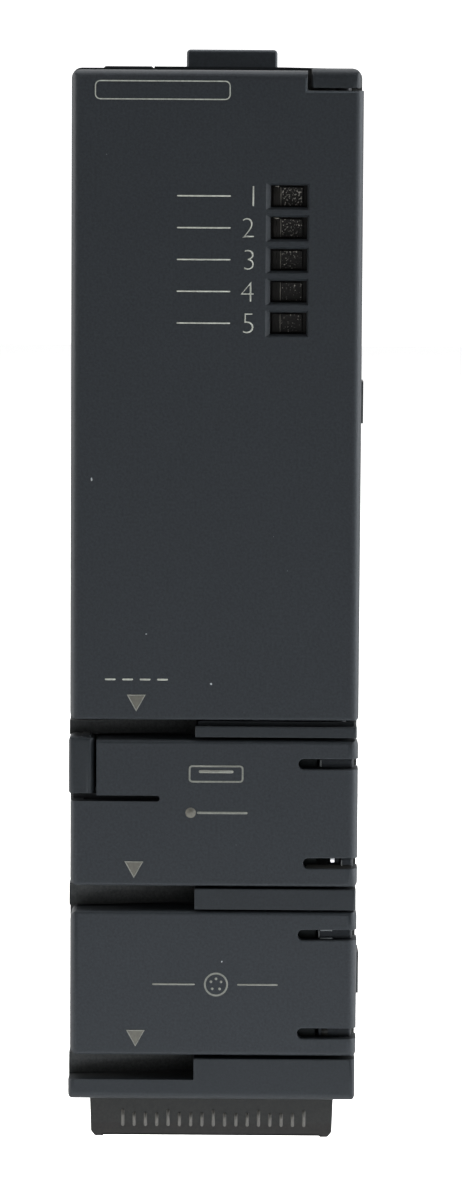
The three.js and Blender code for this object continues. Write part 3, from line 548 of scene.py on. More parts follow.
def laminate(name):
    """Circuit board: solder resist over copper tracks."""
    made = Surface(name)
    cells = made.add("TexVoronoi", "Distance", {"Vector": made.where, "Scale": 420}, distance="MANHATTAN")
    resist, copper, edge = srgb(22, 74, 44), srgb(44, 104, 66), srgb(36, 94, 58)
    looks = {
        "Base Color": made.ramp(cells, (0.25, copper), (0.3, resist), (0.55, resist), (0.6, edge)),
        "Roughness": 0.35,
        "Normal": made.bump(cells, 0.2, 0.00005),
    }
    return made.finish(looks)


CASE_GREY = moulded("case_grey", (21.2, 24.1, 26.7), specks=True, specular=0.17)
# painted light: the frame's surfaces well behind its front face take a lighter tone, brightening its shaded
# recesses
FRAME_GREY = moulded("frame_grey", (16.6, 19.4, 21.6), specks=True, painted_depth_tone=(42, 43, 42), specular=0.17)
# painted shade: a darker copy of the frame grey for the hinge ears, which stand shaded in the door slots
SHADED_EAR_GREY = moulded("shaded_ear_grey", (13, 15.5, 18), specular=0.12)
# the battery door's grey, darker and browner towards its lower rim
BATTERY_GREY = moulded(
    "battery_grey", (21.3, 21, 18.6), rough=0.6, specks=True, specular=0.17, foot=(20, 18, 15)
)
BODY_GREY = moulded("body_grey", (22, 24, 27), specular=0.17, cloud=0.025)
HOOK_GREY = moulded("hook_grey", (19.5, 23, 26), specular=0.28)
# painted shade: near-black colour for the sheets behind the door slots
SLOT_SHADE_GREY = moulded("slot_shade_grey", (8, 10.5, 9.5), specular=0.08)
# painted highlight for the edge of the front door's notch
NOTCH_HIGHLIGHT = moulded("notch_highlight", (40, 44, 47), specular=0.17)
BLACK = moulded("black_resin", (22, 22, 24), rough=0.45, grain=0.1)
CHIP = moulded("chip_resin", (28, 28, 30), rough=0.5, grain=0.2)
IVORY = moulded("ivory_resin", (224, 216, 196), rough=0.45, grain=0.1)
LABEL = moulded("label_film", (92, 95, 97), rough=0.4, grain=0.05, cloud=0.015)
LED_RESIN = moulded("led_resin", (196, 190, 172), rough=0.2, grain=0.05)
SLEEVE = moulded("battery_sleeve", (38, 82, 142), rough=0.28, grain=0.08)
RED = moulded("red_insulation", (168, 34, 28), rough=0.4, grain=0.08)
INSULATION = moulded("black_insulation", (20, 20, 22), rough=0.4, grain=0.08)
STEEL = metal("plated_steel", (196, 198, 202))
CAN = metal("drawn_can", (206, 208, 212), rough=0.25)
GOLD = metal("gold_plate", (214, 172, 84), rough=0.22)
BOARD = laminate("board_laminate")
SMOKED = smoked_lens("smoked_lens")
# pale guide strips: a vertical line on each light guide, and a painted highlight along the top edge of the
# first two
GUIDE_EDGE_GLINT = smoked_lens("guide_edge_glint", (96, 95, 90))
GUIDE_LINE = smoked_lens("guide_line", (26, 26, 24))
HAZE = smoked_lens("guide_haze", (19, 17.5, 16))
# painted highlights: pale strips on the hinge ears' edges
EAR_HIGHLIGHT = smoked_lens("ear_highlight", (54, 57, 58))
EAR_LIT = smoked_lens("ear_lit", (78, 82, 84))
# painted highlights: bright glints in the window faces' colour
FROST_GLINTS = frosted("frosted_window_glints")
INK = printed("grey_ink", (116, 120, 114))
SIGN_INK = printed("sign_ink", (77, 80, 75))
MARK_INK = printed("mark_ink", (50, 50, 43))
TICK_INK = printed("tick_ink", (45, 45, 42))
LINE_INK = printed("line_ink", (34, 36, 38))


# ---------------- front mouldings
def rolled(outline, x, y, z, rolls, steps=7):
    """A prism along Y, its front edges rolled over by radii for the left, right, top and bottom."""
    left, right, top, bottom = rolls
    made = prism("y", outline, y)
    across = rounded(
        [(x[0], y[0], left), (x[1], y[0], right), (x[1], y[1] + 1, 0), (x[0], y[1] + 1, 0)], steps
    )
    upright = rounded(
        [(y[0], z[0], bottom), (y[1] + 1, z[0], 0), (y[1] + 1, z[1], 0), (y[0], z[1], top)], steps
    )
    return common(
        made, prism("z", across, (z[0] - 1, z[1] + 1)), prism("x", upright, (x[0] - 1, x[1] + 1))
    )


def door_shell(door, outline, rolls):
    """A shallow tray: rolled front edges, open behind, cut back along its hinge side."""
    x, _, z = door
    tray = rolled(outline, x, (FRONT, DOOR_BACK), z, rolls)
    tray = cut(tray, box((PIN_X + 0.2, x[1] + 1), (PIN_Y + 1.2, DOOR_BACK + 1), (z[0] - 1, z[1] + 1)))
    hollow = frame_outline((x[0] + 1.2, PIN_X - 0.9), (z[0] + 1.2, z[1] - 1.2), 0.5)
    return tray, prism("y", hollow, (FRONT + 1.4, DOOR_BACK + 1))


def wider(door, lift=0.0):
    """The door's box, grown to the hinge side by the roll of its edge, its lower edge lifted clear."""
    x, y, z = door
    return (x[0], x[1] + 0.08), y, (z[0] + lift, z[1])


def latch_peg(z):
    """A split snap peg on a door's back."""
    foot, neck, bulge, tip = FRONT + 1.2, PANEL + 0.1, PANEL + 0.35, PANEL + 0.9
    right = [(-9.2, foot), (-9.2, neck), (-9.05, bulge), (-9.35, tip)]
    left = [(-10.45, tip), (-10.75, bulge), (-10.6, neck)]
    peg = prism("z", [(-10.6, foot), *right, *left], (z - 1, z + 1))
    return cut(peg, box((-10.1, -9.7), (FRONT + 2.2, PANEL + 2), (z - 2, z + 2)))


def splayed(x, z, by):
    """A window cutter whose mouth is splayed by its own amount at the left, right, low and high side."""
    left, right, low, high = by
    outer = frame_outline((x[0] - left, x[1] + right), (z[0] - low, z[1] + high), 0.12, 2)
    inner = frame_outline(x, z, 0.08, 2)
    rings = [(outer, FRONT - 1), (outer, FRONT), (inner, FRONT + 0.42), (inner, FRONT + 3)]
    return loft([[place("y", a, b, c) for a, b in ring] for ring, c in rings])


def window_spans():
    for i in range(WINDOWS["count"]):
        top = WINDOWS["top"] - i * WINDOWS["pitch"]
        yield top - WINDOWS["high"], top


def make_front_door():
    x, _, z = wider(FRONT_DOOR)
    bottom = -12.45
    notch_x, notch_z = 8.5, 46.9
    outline = frame_outline(x, (bottom, z[1]), (0.7, 0.4, 0.5, 0.85))
    tray, hollow = door_shell((x, FRONT_DOOR[1], (bottom, z[1])), outline, (0.85, 0.9, 0.95, 0.36))
    corner = frame_outline((notch_x, x[1] + 3), (notch_z, z[1] + 3), (0.2, 0, 0, 0))
    corner = window(corner, FRONT, DOOR_BACK + 1, 0.2)
    lip = join(
        box((notch_x - 1.2, notch_x), (FRONT + 1.2, DOOR_BACK), (notch_z - 1.2, z[1] - 0.6)),
        box((notch_x - 1.2, PIN_X + 0.8), (FRONT + 1.2, PIN_Y + 1.2), (notch_z - 1.2, notch_z)),
    )
    ribs = [
        box((x[0] + 1, PIN_X - 1.5), (FRONT + 1.3, FRONT + 2.1), (h - 0.4, h + 0.4)) for h in (14, 2, -6)
    ]
    windows = []
    for low, high in window_spans():
        windows.append(splayed((WINDOWS["left"], WINDOWS["right"]), (low, high), (0.44, 0.2, 0.28, 0.24)))
    made = join(cut(tray, hollow), lip, latch_peg(PEG_HEIGHTS[0]), *ribs)
    return cut(made, corner, *windows)


def ear_slots(door, slots):
    """The slots at a door's right edge, where the hinge ears stand: (left end, low, high)."""
    cutters, fill = [], []
    for left, low, high in slots:
        round_end = (high - low) / 2 - 0.02
        shape = frame_outline((left, door[0][1] + 2), (low, high), (round_end, 0, 0, round_end))
        cutters.append(window(shape, FRONT, DOOR_BACK + 1, 0.13))
        fill.append(box((PIN_X - 1.0, PIN_X + 1.0), (FRONT + 1, PIN_Y + 1.0), (low - 1.1, high + 1.1)))
    return cutters, fill


USB_SLOTS = [(8.1, -17.1, -16.1), (8.6, -26.6, -25.6)]
SERIAL_SLOTS = [(8.15, -33.5, -32.5), (8.15, -43.0, -42.0)]


def make_usb_door():
    door = wider(USB_DOOR, 0.09)
    x, _, z = door
    outline = frame_outline(x, z, (0.8, 0.5, 0.5, 0.4))
    tray, hollow = door_shell(door, outline, (0.7, 1.0, 0.42, 0.34))
    cutters, fill = ear_slots(USB_DOOR, USB_SLOTS)
    tray = join(cut(tray, hollow), *fill, latch_peg(PEG_HEIGHTS[1]))
    through = (FRONT - 1, DOOR_BACK + 1)
    tongue, slit_low, slit_high = -11.05, -20.26, -19.7
    notch = box((x[0] - 2, tongue), through, (slit_low, z[1] + 2))
    slit = prism("y", frame_outline((-12.5, -5.05), (slit_low, slit_high), (0, 0.25, 0.25, 0)), through)
    tongue_end = box((tongue, tongue + 1), (FRONT + 1.2, FRONT + 3.6), (slit_high, z[1] - 0.5))
    made = cut(tray, notch, slit, *cutters)
    return join(made, tongue_end)


def make_serial_door():
    door = wider(SERIAL_DOOR, 0.19)
    x, _, z = door
    outline = frame_outline(x, z, (0.9, 0.5, 0.5, 0.9))
    tray, hollow = door_shell(door, outline, (0.8, 1.0, 0.42, 0.4))
    cutters, fill = ear_slots(SERIAL_DOOR, SERIAL_SLOTS)
    tray = join(cut(tray, hollow), *fill, latch_peg(PEG_HEIGHTS[2]))
    return cut(tray, *cutters)


def slot_shade_sheets(slots):
    """Painted shade: thin dark sheets behind a door's slots, where no ear stands, coloured for the shade
    seen through the slots.
    """
    depth = (FRONT + 1.2, FRONT + 1.4)
    return join(*[box((left - 0.3, 9.85), depth, (low - 0.3, high + 0.3)) for left, low, high in slots])


def door_pins(spans):
    return join(*[rod("z", DOOR_PIN, 0.75, span, ease=0.12) for span in spans])


def slot_pins(slots):
    return door_pins([(low - 0.3, high + 0.3) for _, low, high in slots])


piece("front_door", make_front_door(), CASE_GREY, "front_cover", ["front_cover"], ease=0.07)
piece("usb_door", make_usb_door(), CASE_GREY, "usb_cover", ["usb_cover"], ease=0.06)
piece("serial_door", make_serial_door(), CASE_GREY, "serial_cover", ["serial_cover"], ease=0.06)
# painted shade: the doors' hinge pins, moulded in the doors' grey, take the dark resin so that they read as
# shaded
piece("front_door_pins", door_pins([(46.3, 48.3), (-13.8, -12.1)]), BLACK, "front_cover", ease=0)
piece("usb_door_pins", slot_pins(USB_SLOTS), BLACK, "usb_cover", ease=0)
piece("serial_door_pins", slot_pins(SERIAL_SLOTS), BLACK, "serial_cover", ease=0)

# painted shade: dark sheets behind the slots, riding on each door
piece("usb_slot_shade_sheets", slot_shade_sheets(USB_SLOTS), SLOT_SHADE_GREY, "usb_cover", ease=0)
piece("serial_slot_shade_sheets", slot_shade_sheets(SERIAL_SLOTS), SLOT_SHADE_GREY, "serial_cover", ease=0)
# a painted highlight: pale strips along the edge of the front door's corner notch
notch_highlights = join(
    box((8.26, 8.42), (FRONT - 0.004, FRONT + 0.3), (46.72, 48.0)),
    box((8.26, 13.2), (FRONT - 0.004, FRONT + 0.3), (46.68, 46.8)),
)
piece("front_door_notch_highlight", notch_highlights, NOTCH_HIGHLIGHT, "front_cover", ease=0.02)


# ---------------- front frame
def recess_floor(z0, z1):
    """The floor of a finger recess, which falls away from the open side."""
    right, back = RECESS_RIGHT + 0.1, PANEL + 0.5
    return prism("z", [(LEFT, PANEL - 2.2), (right, PANEL - 0.1), (right, back), (LEFT, back)], (z0, z1))


def make_frame():
    shell = cut(
        prism("y", frame_outline((LEFT, RIGHT), (BOTTOM, TOP), 0.9), (PANEL, FRAME_BACK)),
        box((LEFT + 1.5, RIGHT - 1.5), (PANEL + 1.5, FRAME_BACK + 1), (BOTTOM + 1.5, TOP - 1.5)),
    )
    lip = cut(
        join(
            box((LEFT + 1.65, RIGHT - 1.65), (FRAME_BACK - 2, LIP_BACK), (BOTTOM + 1.65, TOP - 1.65)),
            box((LEFT + 0.5, RIGHT - 0.5), (FRAME_BACK - 2, FRAME_BACK - 0.01), (BOTTOM + 0.5, TOP - 0.5)),
        ),
        box((LEFT + 2.65, RIGHT - 2.65), (FRAME_BACK - 3, LIP_BACK + 1), (BOTTOM + 2.65, TOP - 2.65)),
        box((-10.4, -5.2), (FRAME_BACK + 0.1, LIP_BACK + 1), (BOTTOM, BOTTOM + 4)),
        box((2.8, 7.6), (FRAME_BACK + 0.1, LIP_BACK + 1), (TOP - 4, TOP)),
    )
    snaps = [
        box(x, (FRAME_BACK + 1.7, FRAME_BACK + 3.5), (z - 3, z + 3))
        for z in SNAP_HEIGHTS
        for x in ((LEFT + 0.4, LEFT + 2.15), (RIGHT - 2.15, RIGHT - 0.4))
    ]
    depth = (FRONT, PANEL + 0.5)
    sill_right, sill_left = -45.0, -47.06
    corners = [(LEFT, BOTTOM, 0.6), (RIGHT, BOTTOM, 0.6), (RIGHT, sill_right, 0.15)]
    corners += [(RECESS_RIGHT, sill_right, 0.1), (RECESS_RIGHT, sill_left, 0), (LEFT, sill_left, 0.1)]
    sill = rolled(rounded(corners), (LEFT, RIGHT), depth, (BOTTOM, sill_right), (0.6, 0.6, 0.1, 0.75))
    bars = []
    for right, height, lip_roll in ((13.64, (-14.07, -13.04), 0.16), (13.66, (-30.58, -28.6), 0.1)):
        across = (RECESS_RIGHT, right)
        outline = frame_outline(across, height, 0.08)
        bars.append(rolled(outline, across, depth, height, (0.08, 0.3, lip_roll, 0.06), 4))
    right, low, high = -11.27, -19.5, -13.95
    corners = [(LEFT, low, 0.2), (right, low, 0.15), (right, high - 0.3, 0.35), (LEFT, high, 0.5)]
    post = rolled(rounded(corners, 4), (LEFT, right), depth, (low, high), (0.5, 0.75, 0.75, 0.08))
    x, z = (-12.5, -11.6), (-14.6, -13.98)
    rolls = (0.15, 0.2, 0.2, 0.05)
    step = rolled(frame_outline(x, z, 0.15, 3), x, (FRONT + 0.55, PANEL + 0.5), z, rolls, 3)
    x, z = (8.9, 13.55), (47.14, TOP - 0.02)
    outline = frame_outline(x, z, (0.1, 0.2, 0.9, 0.1))
    boss = rolled(outline, x, (FRONT + 0.1, PANEL + 0.5), z, (0.35, 0.85, 1.0, 0.1))
    top_pad = box((-10.8, -6.2), (FRAME_BACK - 7, FRAME_BACK - 1), (TOP - 0.2, TOP + 0.17))
    rib_depth = (PANEL + 0.3, PANEL + 2.4)
    rib = [(-5.95, -0.3), (12.5, -0.3), (12.5, -0.05), (11.0, 0.06), (6.2, 0.14), (-5.95, 0.16)]
    top_ribs = [
        box((-10.6, -6.2), rib_depth, (TOP - 0.3, TOP + 0.16)),
        prism("y", [(x, TOP + above) for x, above in rib], rib_depth),
    ]
    pip = (RIGHT - 0.2, RIGHT + 0.4), (PANEL + 2, PANEL + 6)
    side_pips = [box(*pip, (z - 2, z + 2)) for z in (17.4, -37.8)]
    made = join(
        shell,
        lip,
        *snaps,
        sill,
        *bars,
        # the dark step between the front door and the first bar
        box((RECESS_RIGHT + 0.3, 13.35), (FRONT + 1.0, PANEL + 0.5), (-13.3, -12.66)),
        post,
        step,
        boss,
        *[recess_floor(*span) for span in ((-14.2, -12.85), (-30.65, -28.55), (-47.3, -44.95))],
        top_pad,
        *top_ribs,
        *side_pips,
    )
    through = (PANEL - 1, PANEL + 2.5)
    tab_pockets = [
        box((x - 1.4, x + 1.4), (FRONT + 3.6, FRONT + 5.5), (BOTTOM - 1, BOTTOM + 1.4))
        for x in (-TAB_PEG_X, TAB_PEG_X)
    ]
    return cut(
        made,
        rod("z", DOOR_PIN, 0.88, (46, 48.45)),
        rod("z", DOOR_PIN, 0.88, (-15, -12)),
        prism("y", frame_outline((3.9, 8.9), (23.7, 38.5), 0.3), through),
        prism("y", frame_outline((-4.95, -3.05), (-5.2, 1.2), 0.3), through),
        prism("y", frame_outline((-7.2, -2.7), (-25.5, -17.2), 0.4), through),
        rod("y", (-0.2, -37.8), 5.9, through, 48),
        *[box((-10.9, -8.9), through, (z - 1.4, z + 1.4)) for z in PEG_HEIGHTS],
        *tab_pockets,
    )


def hinge_ear(z, left=10.2, front=0.8):
    """The plate that stands in a door's slot and holds its pin."""
    right = 13.35
    span = (z - 0.42, z + 0.42)
    outline = frame_outline((left, right), span, 0.05, 2)
    rolls = (0.1, 0.35, 0.05, 0.05)
    plate = rolled(outline, (left, right), (FRONT + front, PANEL + 0.5), span, rolls, 4)
    return cut(plate, rod("z", DOOR_PIN, 0.88, (z - 1, z + 1)))


def ear_highlight(x, z, front):
    """A painted highlight on an ear: a pale strip where an edge would catch the light."""
    return box(x, (FRONT + front, FRONT + front + 0.35), z)


piece("front_frame", make_frame(), FRAME_GREY, "module", ["front_case"], ease=0.06)
# painted shade: a dark strip behind the USB door's slit, riding on the door
slit_shade = box((-13.4, -4.5), (FRONT + 2.4, FRONT + 3.4), (-20.75, -19.8))
piece("slit_shade", slit_shade, BLACK, "usb_cover", ease=0.03)
# the hinge ears take the darker painted-shade grey
ears = [hinge_ear(-16.6), hinge_ear(-26.1, 12.25, 0.55), hinge_ear(-33.0), hinge_ear(-42.5, front=1.1)]
for count, ear in enumerate(ears):
    piece(f"hinge_ear_{count + 1}", ear, SHADED_EAR_GREY, "module", ease=0.03)
# painted highlights on the ears' edges, a slanted lip below the second one and the end of its pin
piece("ear_highlight_1", ear_highlight((10.14, 10.3), (-16.95, -16.25), 0.7), EAR_HIGHLIGHT, "module", ease=0.03)
piece("ear_highlight_2", ear_highlight((12.22, 12.32), (-26.4, -25.8), 0.45), EAR_HIGHLIGHT, "module", ease=0.02)
lip = prism("x", ccw([(FRONT + 0.1, -26.57), (FRONT + 0.6, -26.57), (FRONT + 0.6, -26.27)]), (8.95, 13.2))
piece("ear_lip", lip, BATTERY_GREY, "module", ease=0.02)
pin_end = box((11.21, 11.6), (FRONT + 0.6, FRONT + 2), (-26.08, -25.64))
piece("ear_pin_end", pin_end, STEEL, "module", ease=0.04)
# painted highlights along the third ear's upper and lower edges
edges = [ear_highlight((10.3, 11.45), (z, z + 0.1), 0.55) for z in (-32.66, -33.44)]
edge = ear_highlight((10.12, 10.24), (-33.35, -32.65), 0.7)
piece("ear_highlight_3", edge, EAR_HIGHLIGHT, "module", ease=0.02)
piece("ear_lights_3", join(*edges), EAR_LIT, "module", ease=0.02)
post = rod("z", (10.8, FRONT + 1.5), 0.5, (-42.9, -42.1), 24)
piece("ear_post_4", post, BATTERY_GREY, "module", ease=0)


# ---------------- indicator lens
def make_lens():
    """The smoked block behind the windows, with a light guide standing behind each one."""
    x, y, z = LENS
    guides = []
    for low, high in window_spans():
        outline = frame_outline((5.25, 8.2), (low + 0.08, high - 0.12), 0.12, 2)
        guides.append(eased("y", outline, (y[0], y[0] + 0.6), front=0.08))
    return join(box(x, (y[0] + 0.35, y[1]), z), *guides)


def lens_face(name, made, material):
    piece(name, made, material, "module", ease=0)


piece("lens_block", make_lens(), SMOKED, "module", ["led_lens"], ease=0.02)
for count, (low, high) in enumerate(window_spans()):
    front = LENS[1][0]
    strips = [box((6.03, 6.11), (front - 0.04, front + 0.1), (low + 0.16, high - 0.2))]
    # painted highlight: a pale strip along the top edge of the first two light guides
    if count < 2:
        upper = (high - 0.16, high - 0.06)
        strips.append(box((5.5 - 0.1 * count, 5.9), (front - 0.06, front + 0.1), upper))
        haze = box((5.3, 5.98), (front - 0.015, front + 0.1), (low + 0.2, high - 0.2))
        lens_face(f"guide_haze_{count + 1}", haze, HAZE)
    height = (low + 0.2, high - 0.3)
    faint = [box((at, at + 0.05), (front - 0.02, front + 0.1), height) for at in (5.4, 5.66)]
    lens_face(f"guide_edge_glint_{count + 1}", join(*strips), GUIDE_EDGE_GLINT)
    lens_face(f"guide_lines_{count + 1}", join(*faint), GUIDE_LINE)
    outline = frame_outline((6.18, 8.12), (low + 0.16, high - 0.2), 0.15, 2)
    frost = eased("y", outline, (front - 0.03, front + 0.1), front=0.03)
    lens_face(f"guide_frost_{count + 1}", frost, FROST_GLINTS)


# ---------------- fixing hook
def make_hook():
    x, y, z = HOOK
    low = z[0]
    inner = HOOK_PIN_Y - 0.8
    shank = [(y[0], low), (inner, low), (inner, 44.2), (y[1], 44.2)]
    barb = [(y[1], 48.4), (3.2, 49.0), (1.9, 49.0), (1.9, 46.6), (y[0], 46.6)]
    arm = prism("x", ccw(shank + barb), x)
    lever = eased("y", frame_outline(x, (46, z[1]), (0, 0, 0.45, 0.45)), (-9.4, -7.0), front=0.35, back=0.35)
    ribs = [
        prism("x", ccw([(-7.1, 46.5), (-2.4, 46.5), (-7.1, 51.2)]), (HOOK_X + d - 0.5, HOOK_X + d + 0.5))
        for d in (-3.2, 0, 3.2)
    ]
    made = join(arm, rod("x", HOOK_PIN, 2.2, x, 40), lever, *ribs)
    return cut(
        made,
        rod("x", HOOK_PIN, 1.13, (x[0] - 5, x[1] + 5), 32),
        rod("z", (HOOK_X, -12.5), 2.75, (43, 45.95), 32),
        box((HOOK_X - 1.6, HOOK_X + 1.6), (1.5, 6), (43, 50)),
    )


piece("hook", make_hook(), HOOK_GREY, "fixing_hook", ["fixing_hook"], ease=0.15)


# ---------------- rear case and side cover
def vent_slots(z, spans, y0, y1):
    """Rows of slots with eased mouths, through a wall that lies across Z."""
    slots = []
    at = y0
    while at <= y1:
        for span in spans:
            outline = frame_outline(span, (at - 0.75, at + 0.75), 0.3, 3)
            slots.append(prism("z", outline, (z[0] - 1, z[1] + 1)))
        at += 3.1
    return slots


def make_case():
    outside = ease_edges(box((LEFT, RIGHT), (CASE_FRONT, 0), (BOTTOM, TOP)), 0.6)
    # the right side is closed by its own cover
    inside = join(
        box((LEFT + WALL, RIGHT - WALL), (CASE_FRONT - 1, -2), (BOTTOM + WALL, TOP - WALL)),
        box((RIGHT - WALL - 0.5, RIGHT + 1), (CASE_FRONT - 1, -2), (BOTTOM + WALL, TOP - WALL)),
    )
    shell = cut(outside, inside)
    bosses = ((-20, -40), (-62, 37))
    parts = [
        box((HOOK_X - 6.8, HOOK_X + 6.8), (-28.2, -0.6), (39.8, TOP - 0.5)),
        box((LEFT + 0.5, -6.0), (-15.2, -0.6), (42.2, TOP - 0.5)),
        # guide rails for the boards, and bosses for their screws
        *[box(x, (-69, -47), (BOTTOM + 1, BOTTOM + 5.2)) for x in ((-9.8, -8.75), (-6.85, -5.8))],
        *[box(x, (-69, -34), (TOP - 5.2, TOP - 1)) for x in ((3.2, 4.25), (6.15, 7.2))],
        *[rod("x", at, 2.4, (LEFT + 1, -8.7), 28) for at in bosses],
    ]
    claw = [(-1, -48.6), (3.6, -48.6), (4.6, -47.4), (4.6, -44.9), (3.0, -44.9), (3.0, -46.4), (-1, -46.4)]
    for x in (-7.5, 7.5):
        parts.append(ease_edges(prism("x", ccw(claw), (x - 2.5, x + 2.5)), 0.22, 2))
    for x in ((-9.2, -8.2), (8.2, 9.2)):
        web = box(x, (BAY_PIN_Y - 1.33, BAY_PIN_Y + 1.33), (BAY_PIN_Z, BOTTOM + 0.5))
        parts.append(join(rod("x", BAY_PIN, 1.33, x, 28), web))
    whole = join(shell, *parts)
    return cut(
        whole,
        *[rod("x", at, 0.95, (LEFT + 1.6, 0), 20) for at in bosses],
        # hook pocket, open above and behind, with its pivot hole
        prism("z", frame_outline((HOOK_X - 5.6, HOOK_X + 5.6), (-27, 1), (0.5, 0.5, 0, 0)), (41.0, TOP + 1)),
        rod("x", (-22, 45.9), 1.05, (HOOK_X - 6.4, HOOK_X + 6.4), 28),
        # fixing screw pocket and its hole
        prism("z", frame_outline((LEFT + WALL, -7.4), (-14, -4), 0.5), (43.4, TOP + 1)),
        rod("y", (-9.8, 46.3), 1.7, (-6, 1), 36),
        # bus connector opening, with a shallow surround
        prism("y", frame_outline((-11.5, -4.1), (-19.3, 19.3), 0.4), (-3, 1)),
        prism("y", frame_outline((-12.0, -3.6), (-19.8, 19.8), 0.6), (-0.35, 1)),
        # battery opening and the pivot holes of its door
        prism("z", frame_outline((-5.8, 10.4), (-69.1, -34.2), 0.8), (BOTTOM - 1, BOTTOM + WALL + 1)),
        rod("x", BAY_PIN, 0.83, (-10, 10), 24),
        # snap windows for the front frame
        *[box((LEFT - 1, LEFT + 1.6), SNAP_DEPTH, (z - 3.3, z + 3.3)) for z in SNAP_HEIGHTS],
        *vent_slots((TOP - WALL, TOP), ((-11, -5.2), (-3.4, 2.4), (8.2, 11.4)), -66, -34),
        *vent_slots((BOTTOM, BOTTOM + WALL), ((-11, -1.5), (1.5, 11)), -27, -7),
    )


def make_side_cover():
    z = SIDE[2]
    plate = ease_edges(box((RIGHT - WALL, RIGHT), (CASE_FRONT, -2.15), z), 0.25, 2)
    hooks = [
        box((RIGHT - WALL - 2.4, RIGHT - WALL + 0.5), (y - 3, y + 3), span)
        for y in (-55, -20)
        for span in ((z[0], z[0] + 1), (z[1] - 1, z[1]))
    ]
    snaps = [frame_outline(SNAP_DEPTH, (h - 3.3, h + 3.3), 0.2, 2) for h in SNAP_HEIGHTS]
    return cut(
        join(plate, *hooks),
        *[prism("x", outline, (11, RIGHT + 1)) for outline in snaps],
        prism("x", frame_outline((-62, -16), (-24, 24), 0.8), (RIGHT - 0.3, RIGHT + 1)),
    )


walls = (("rear_case", make_case(), "main_case"), ("side_panel", make_side_cover(), "side_cover"))
for name, made, node in walls:
    piece(name, made, BODY_GREY, "module", [node], ease=0, whole=True)


# ---------------- battery door
def make_battery_door():
    (left, right), _, (low, _) = BATTERY_DOOR
    half = (right - left) / 2
    top = BOTTOM - 0.15
    rear = BAY_PIN_Y + 0.3
    # one side's corners from the top down: in from the side, up from the low edge, radius
    corners = [(0, top - low, 0), (0.12, 0.5, 0.3), (0.5, 0, 0.3), (1.25, 0, 0.1), (1.35, 0.12, 0.1)]
    left = [(-half + across, low + up, radius) for across, up, radius in corners]
    outline = rounded(left + [(-x, z, radius) for x, z, radius in reversed(left)], 3)
    tray = eased("y", outline, (TRAY_FRONT, rear), front=0.15)
    tray = cut(
        tray,
        box((-half + 1.2, half - 1.2), (TRAY_FRONT + 1.2, rear + 1), (low + 1.3, top + 1)),
        *[box(x, (BAY_PIN_Y - 2.4, rear + 1), (low - 1, low + 2.2)) for x in ((-9.35, -8), (8, 9.35))],
    )
    parts = []
    for side in (-1, 1):
        inner, outer = 9.35, half - 0.3
        span = (-outer, -inner) if side < 0 else (inner, outer)
        pin = (-inner - 0.5, -8.1) if side < 0 else (8.1, inner + 0.5)
        tab = (side * TAB_PEG_X - 1.1, side * TAB_PEG_X + 1.1)
        parts += [
            rod("x", BAY_PIN, 1.05, span, 28, 0.12),
            rod("x", BAY_PIN, 0.7, pin, 24, 0.1),
            box(tab, (FRONT + 4.1, FRONT + 5.0), (low + 0.6, -48.0)),
            box(tab, (TRAY_FRONT + 0.5, FRONT + 5.0), (low + 0.6, BOTTOM - 0.6)),
        ]
    return join(tray, *parts)


piece("battery_door", make_battery_door(), BATTERY_GREY, "battery_cover", ["battery_cover"], ease=0.08)


# ---------------- carried-over CAD nodes
CARRIED = [
    (LABEL, 0, "rating_label"),
    (STEEL, 0, "hook_spring"),
    (STEEL, 0.08, "hook_pin board_screw_1 board_screw_2 oscillator usb_port_shell serial_port_shield"),
    (CAN, 0.2, "capacitor_1 capacitor_2"),
    (BOARD, 0.05, "main_board sub_board"),
    (CHIP, 0.06, "processor_chip bus_chip memory_chip_1 memory_chip_2 power_chip"),
    (BLACK, 0.12, "power_inductor board_link_header mode_switch_body usb_port_tongue"),
    (BLACK, 0.12, "serial_port_housing serial_port_insert bus_connector battery_cradle"),
    (IVORY, 0.12, "board_link_socket mode_switch_lever battery_header battery_plug"),
    (GOLD, 0.05, "bus_contacts_left bus_contacts_right"),
    (LED_RESIN, 0.1, "led_1 led_2 led_3 led_4 led_5"),
    (RED, 0, "battery_lead_red"),
    (INSULATION, 0, "battery_lead_black"),
]
for material, ease, nodes in CARRIED:
    for node in nodes.split():
        polish(node, material, ease)
polish("battery_cell", SLEEVE, 0.5, segments=3)


# ---------------- printed marks
INK_PROUD = 0.03
INK_BEHIND = 0.05


def ink_piece(name, made, body, ink):
    piece(name, made, ink, body, ease=0)


def flat_mark(name, outlines, body, ink, y=FRONT):
    """Printed shapes: thin prisms whose faces stand just proud of the moulding."""
    shapes = [prism("y", ccw(outline), (y - INK_PROUD, y + INK_BEHIND)) for outline in outlines]
    ink_piece(name, join(*shapes) if shapes[1:] else shapes[0], body, ink)


def bar(a, b, wide=0.2):
    """A stroke from a to b with round ends, as an outline in X and Z."""
    a, b = Vector(a), Vector(b)
    along = (b - a).normalized()
    start = math.atan2(along.y, along.x)
    r = wide / 2
    ends = []
    for centre, turn in ((a, math.pi / 2), (b, -math.pi / 2)):
        for k in range(5):
            t = start + turn + math.pi * k / 4
            ends.append((centre.x + r * math.cos(t), centre.y + r * math.sin(t)))
    return ends


def ring_mark(name, outline, wide, body, ink, y=FRONT):
    """A printed line that follows a closed outline."""
    made = prism("y", outline, (y - INK_PROUD, y + INK_BEHIND))
    ink_piece(name, cut(made, prism("y", inset(outline, wide), (y - 1, y + 1))), body, ink)


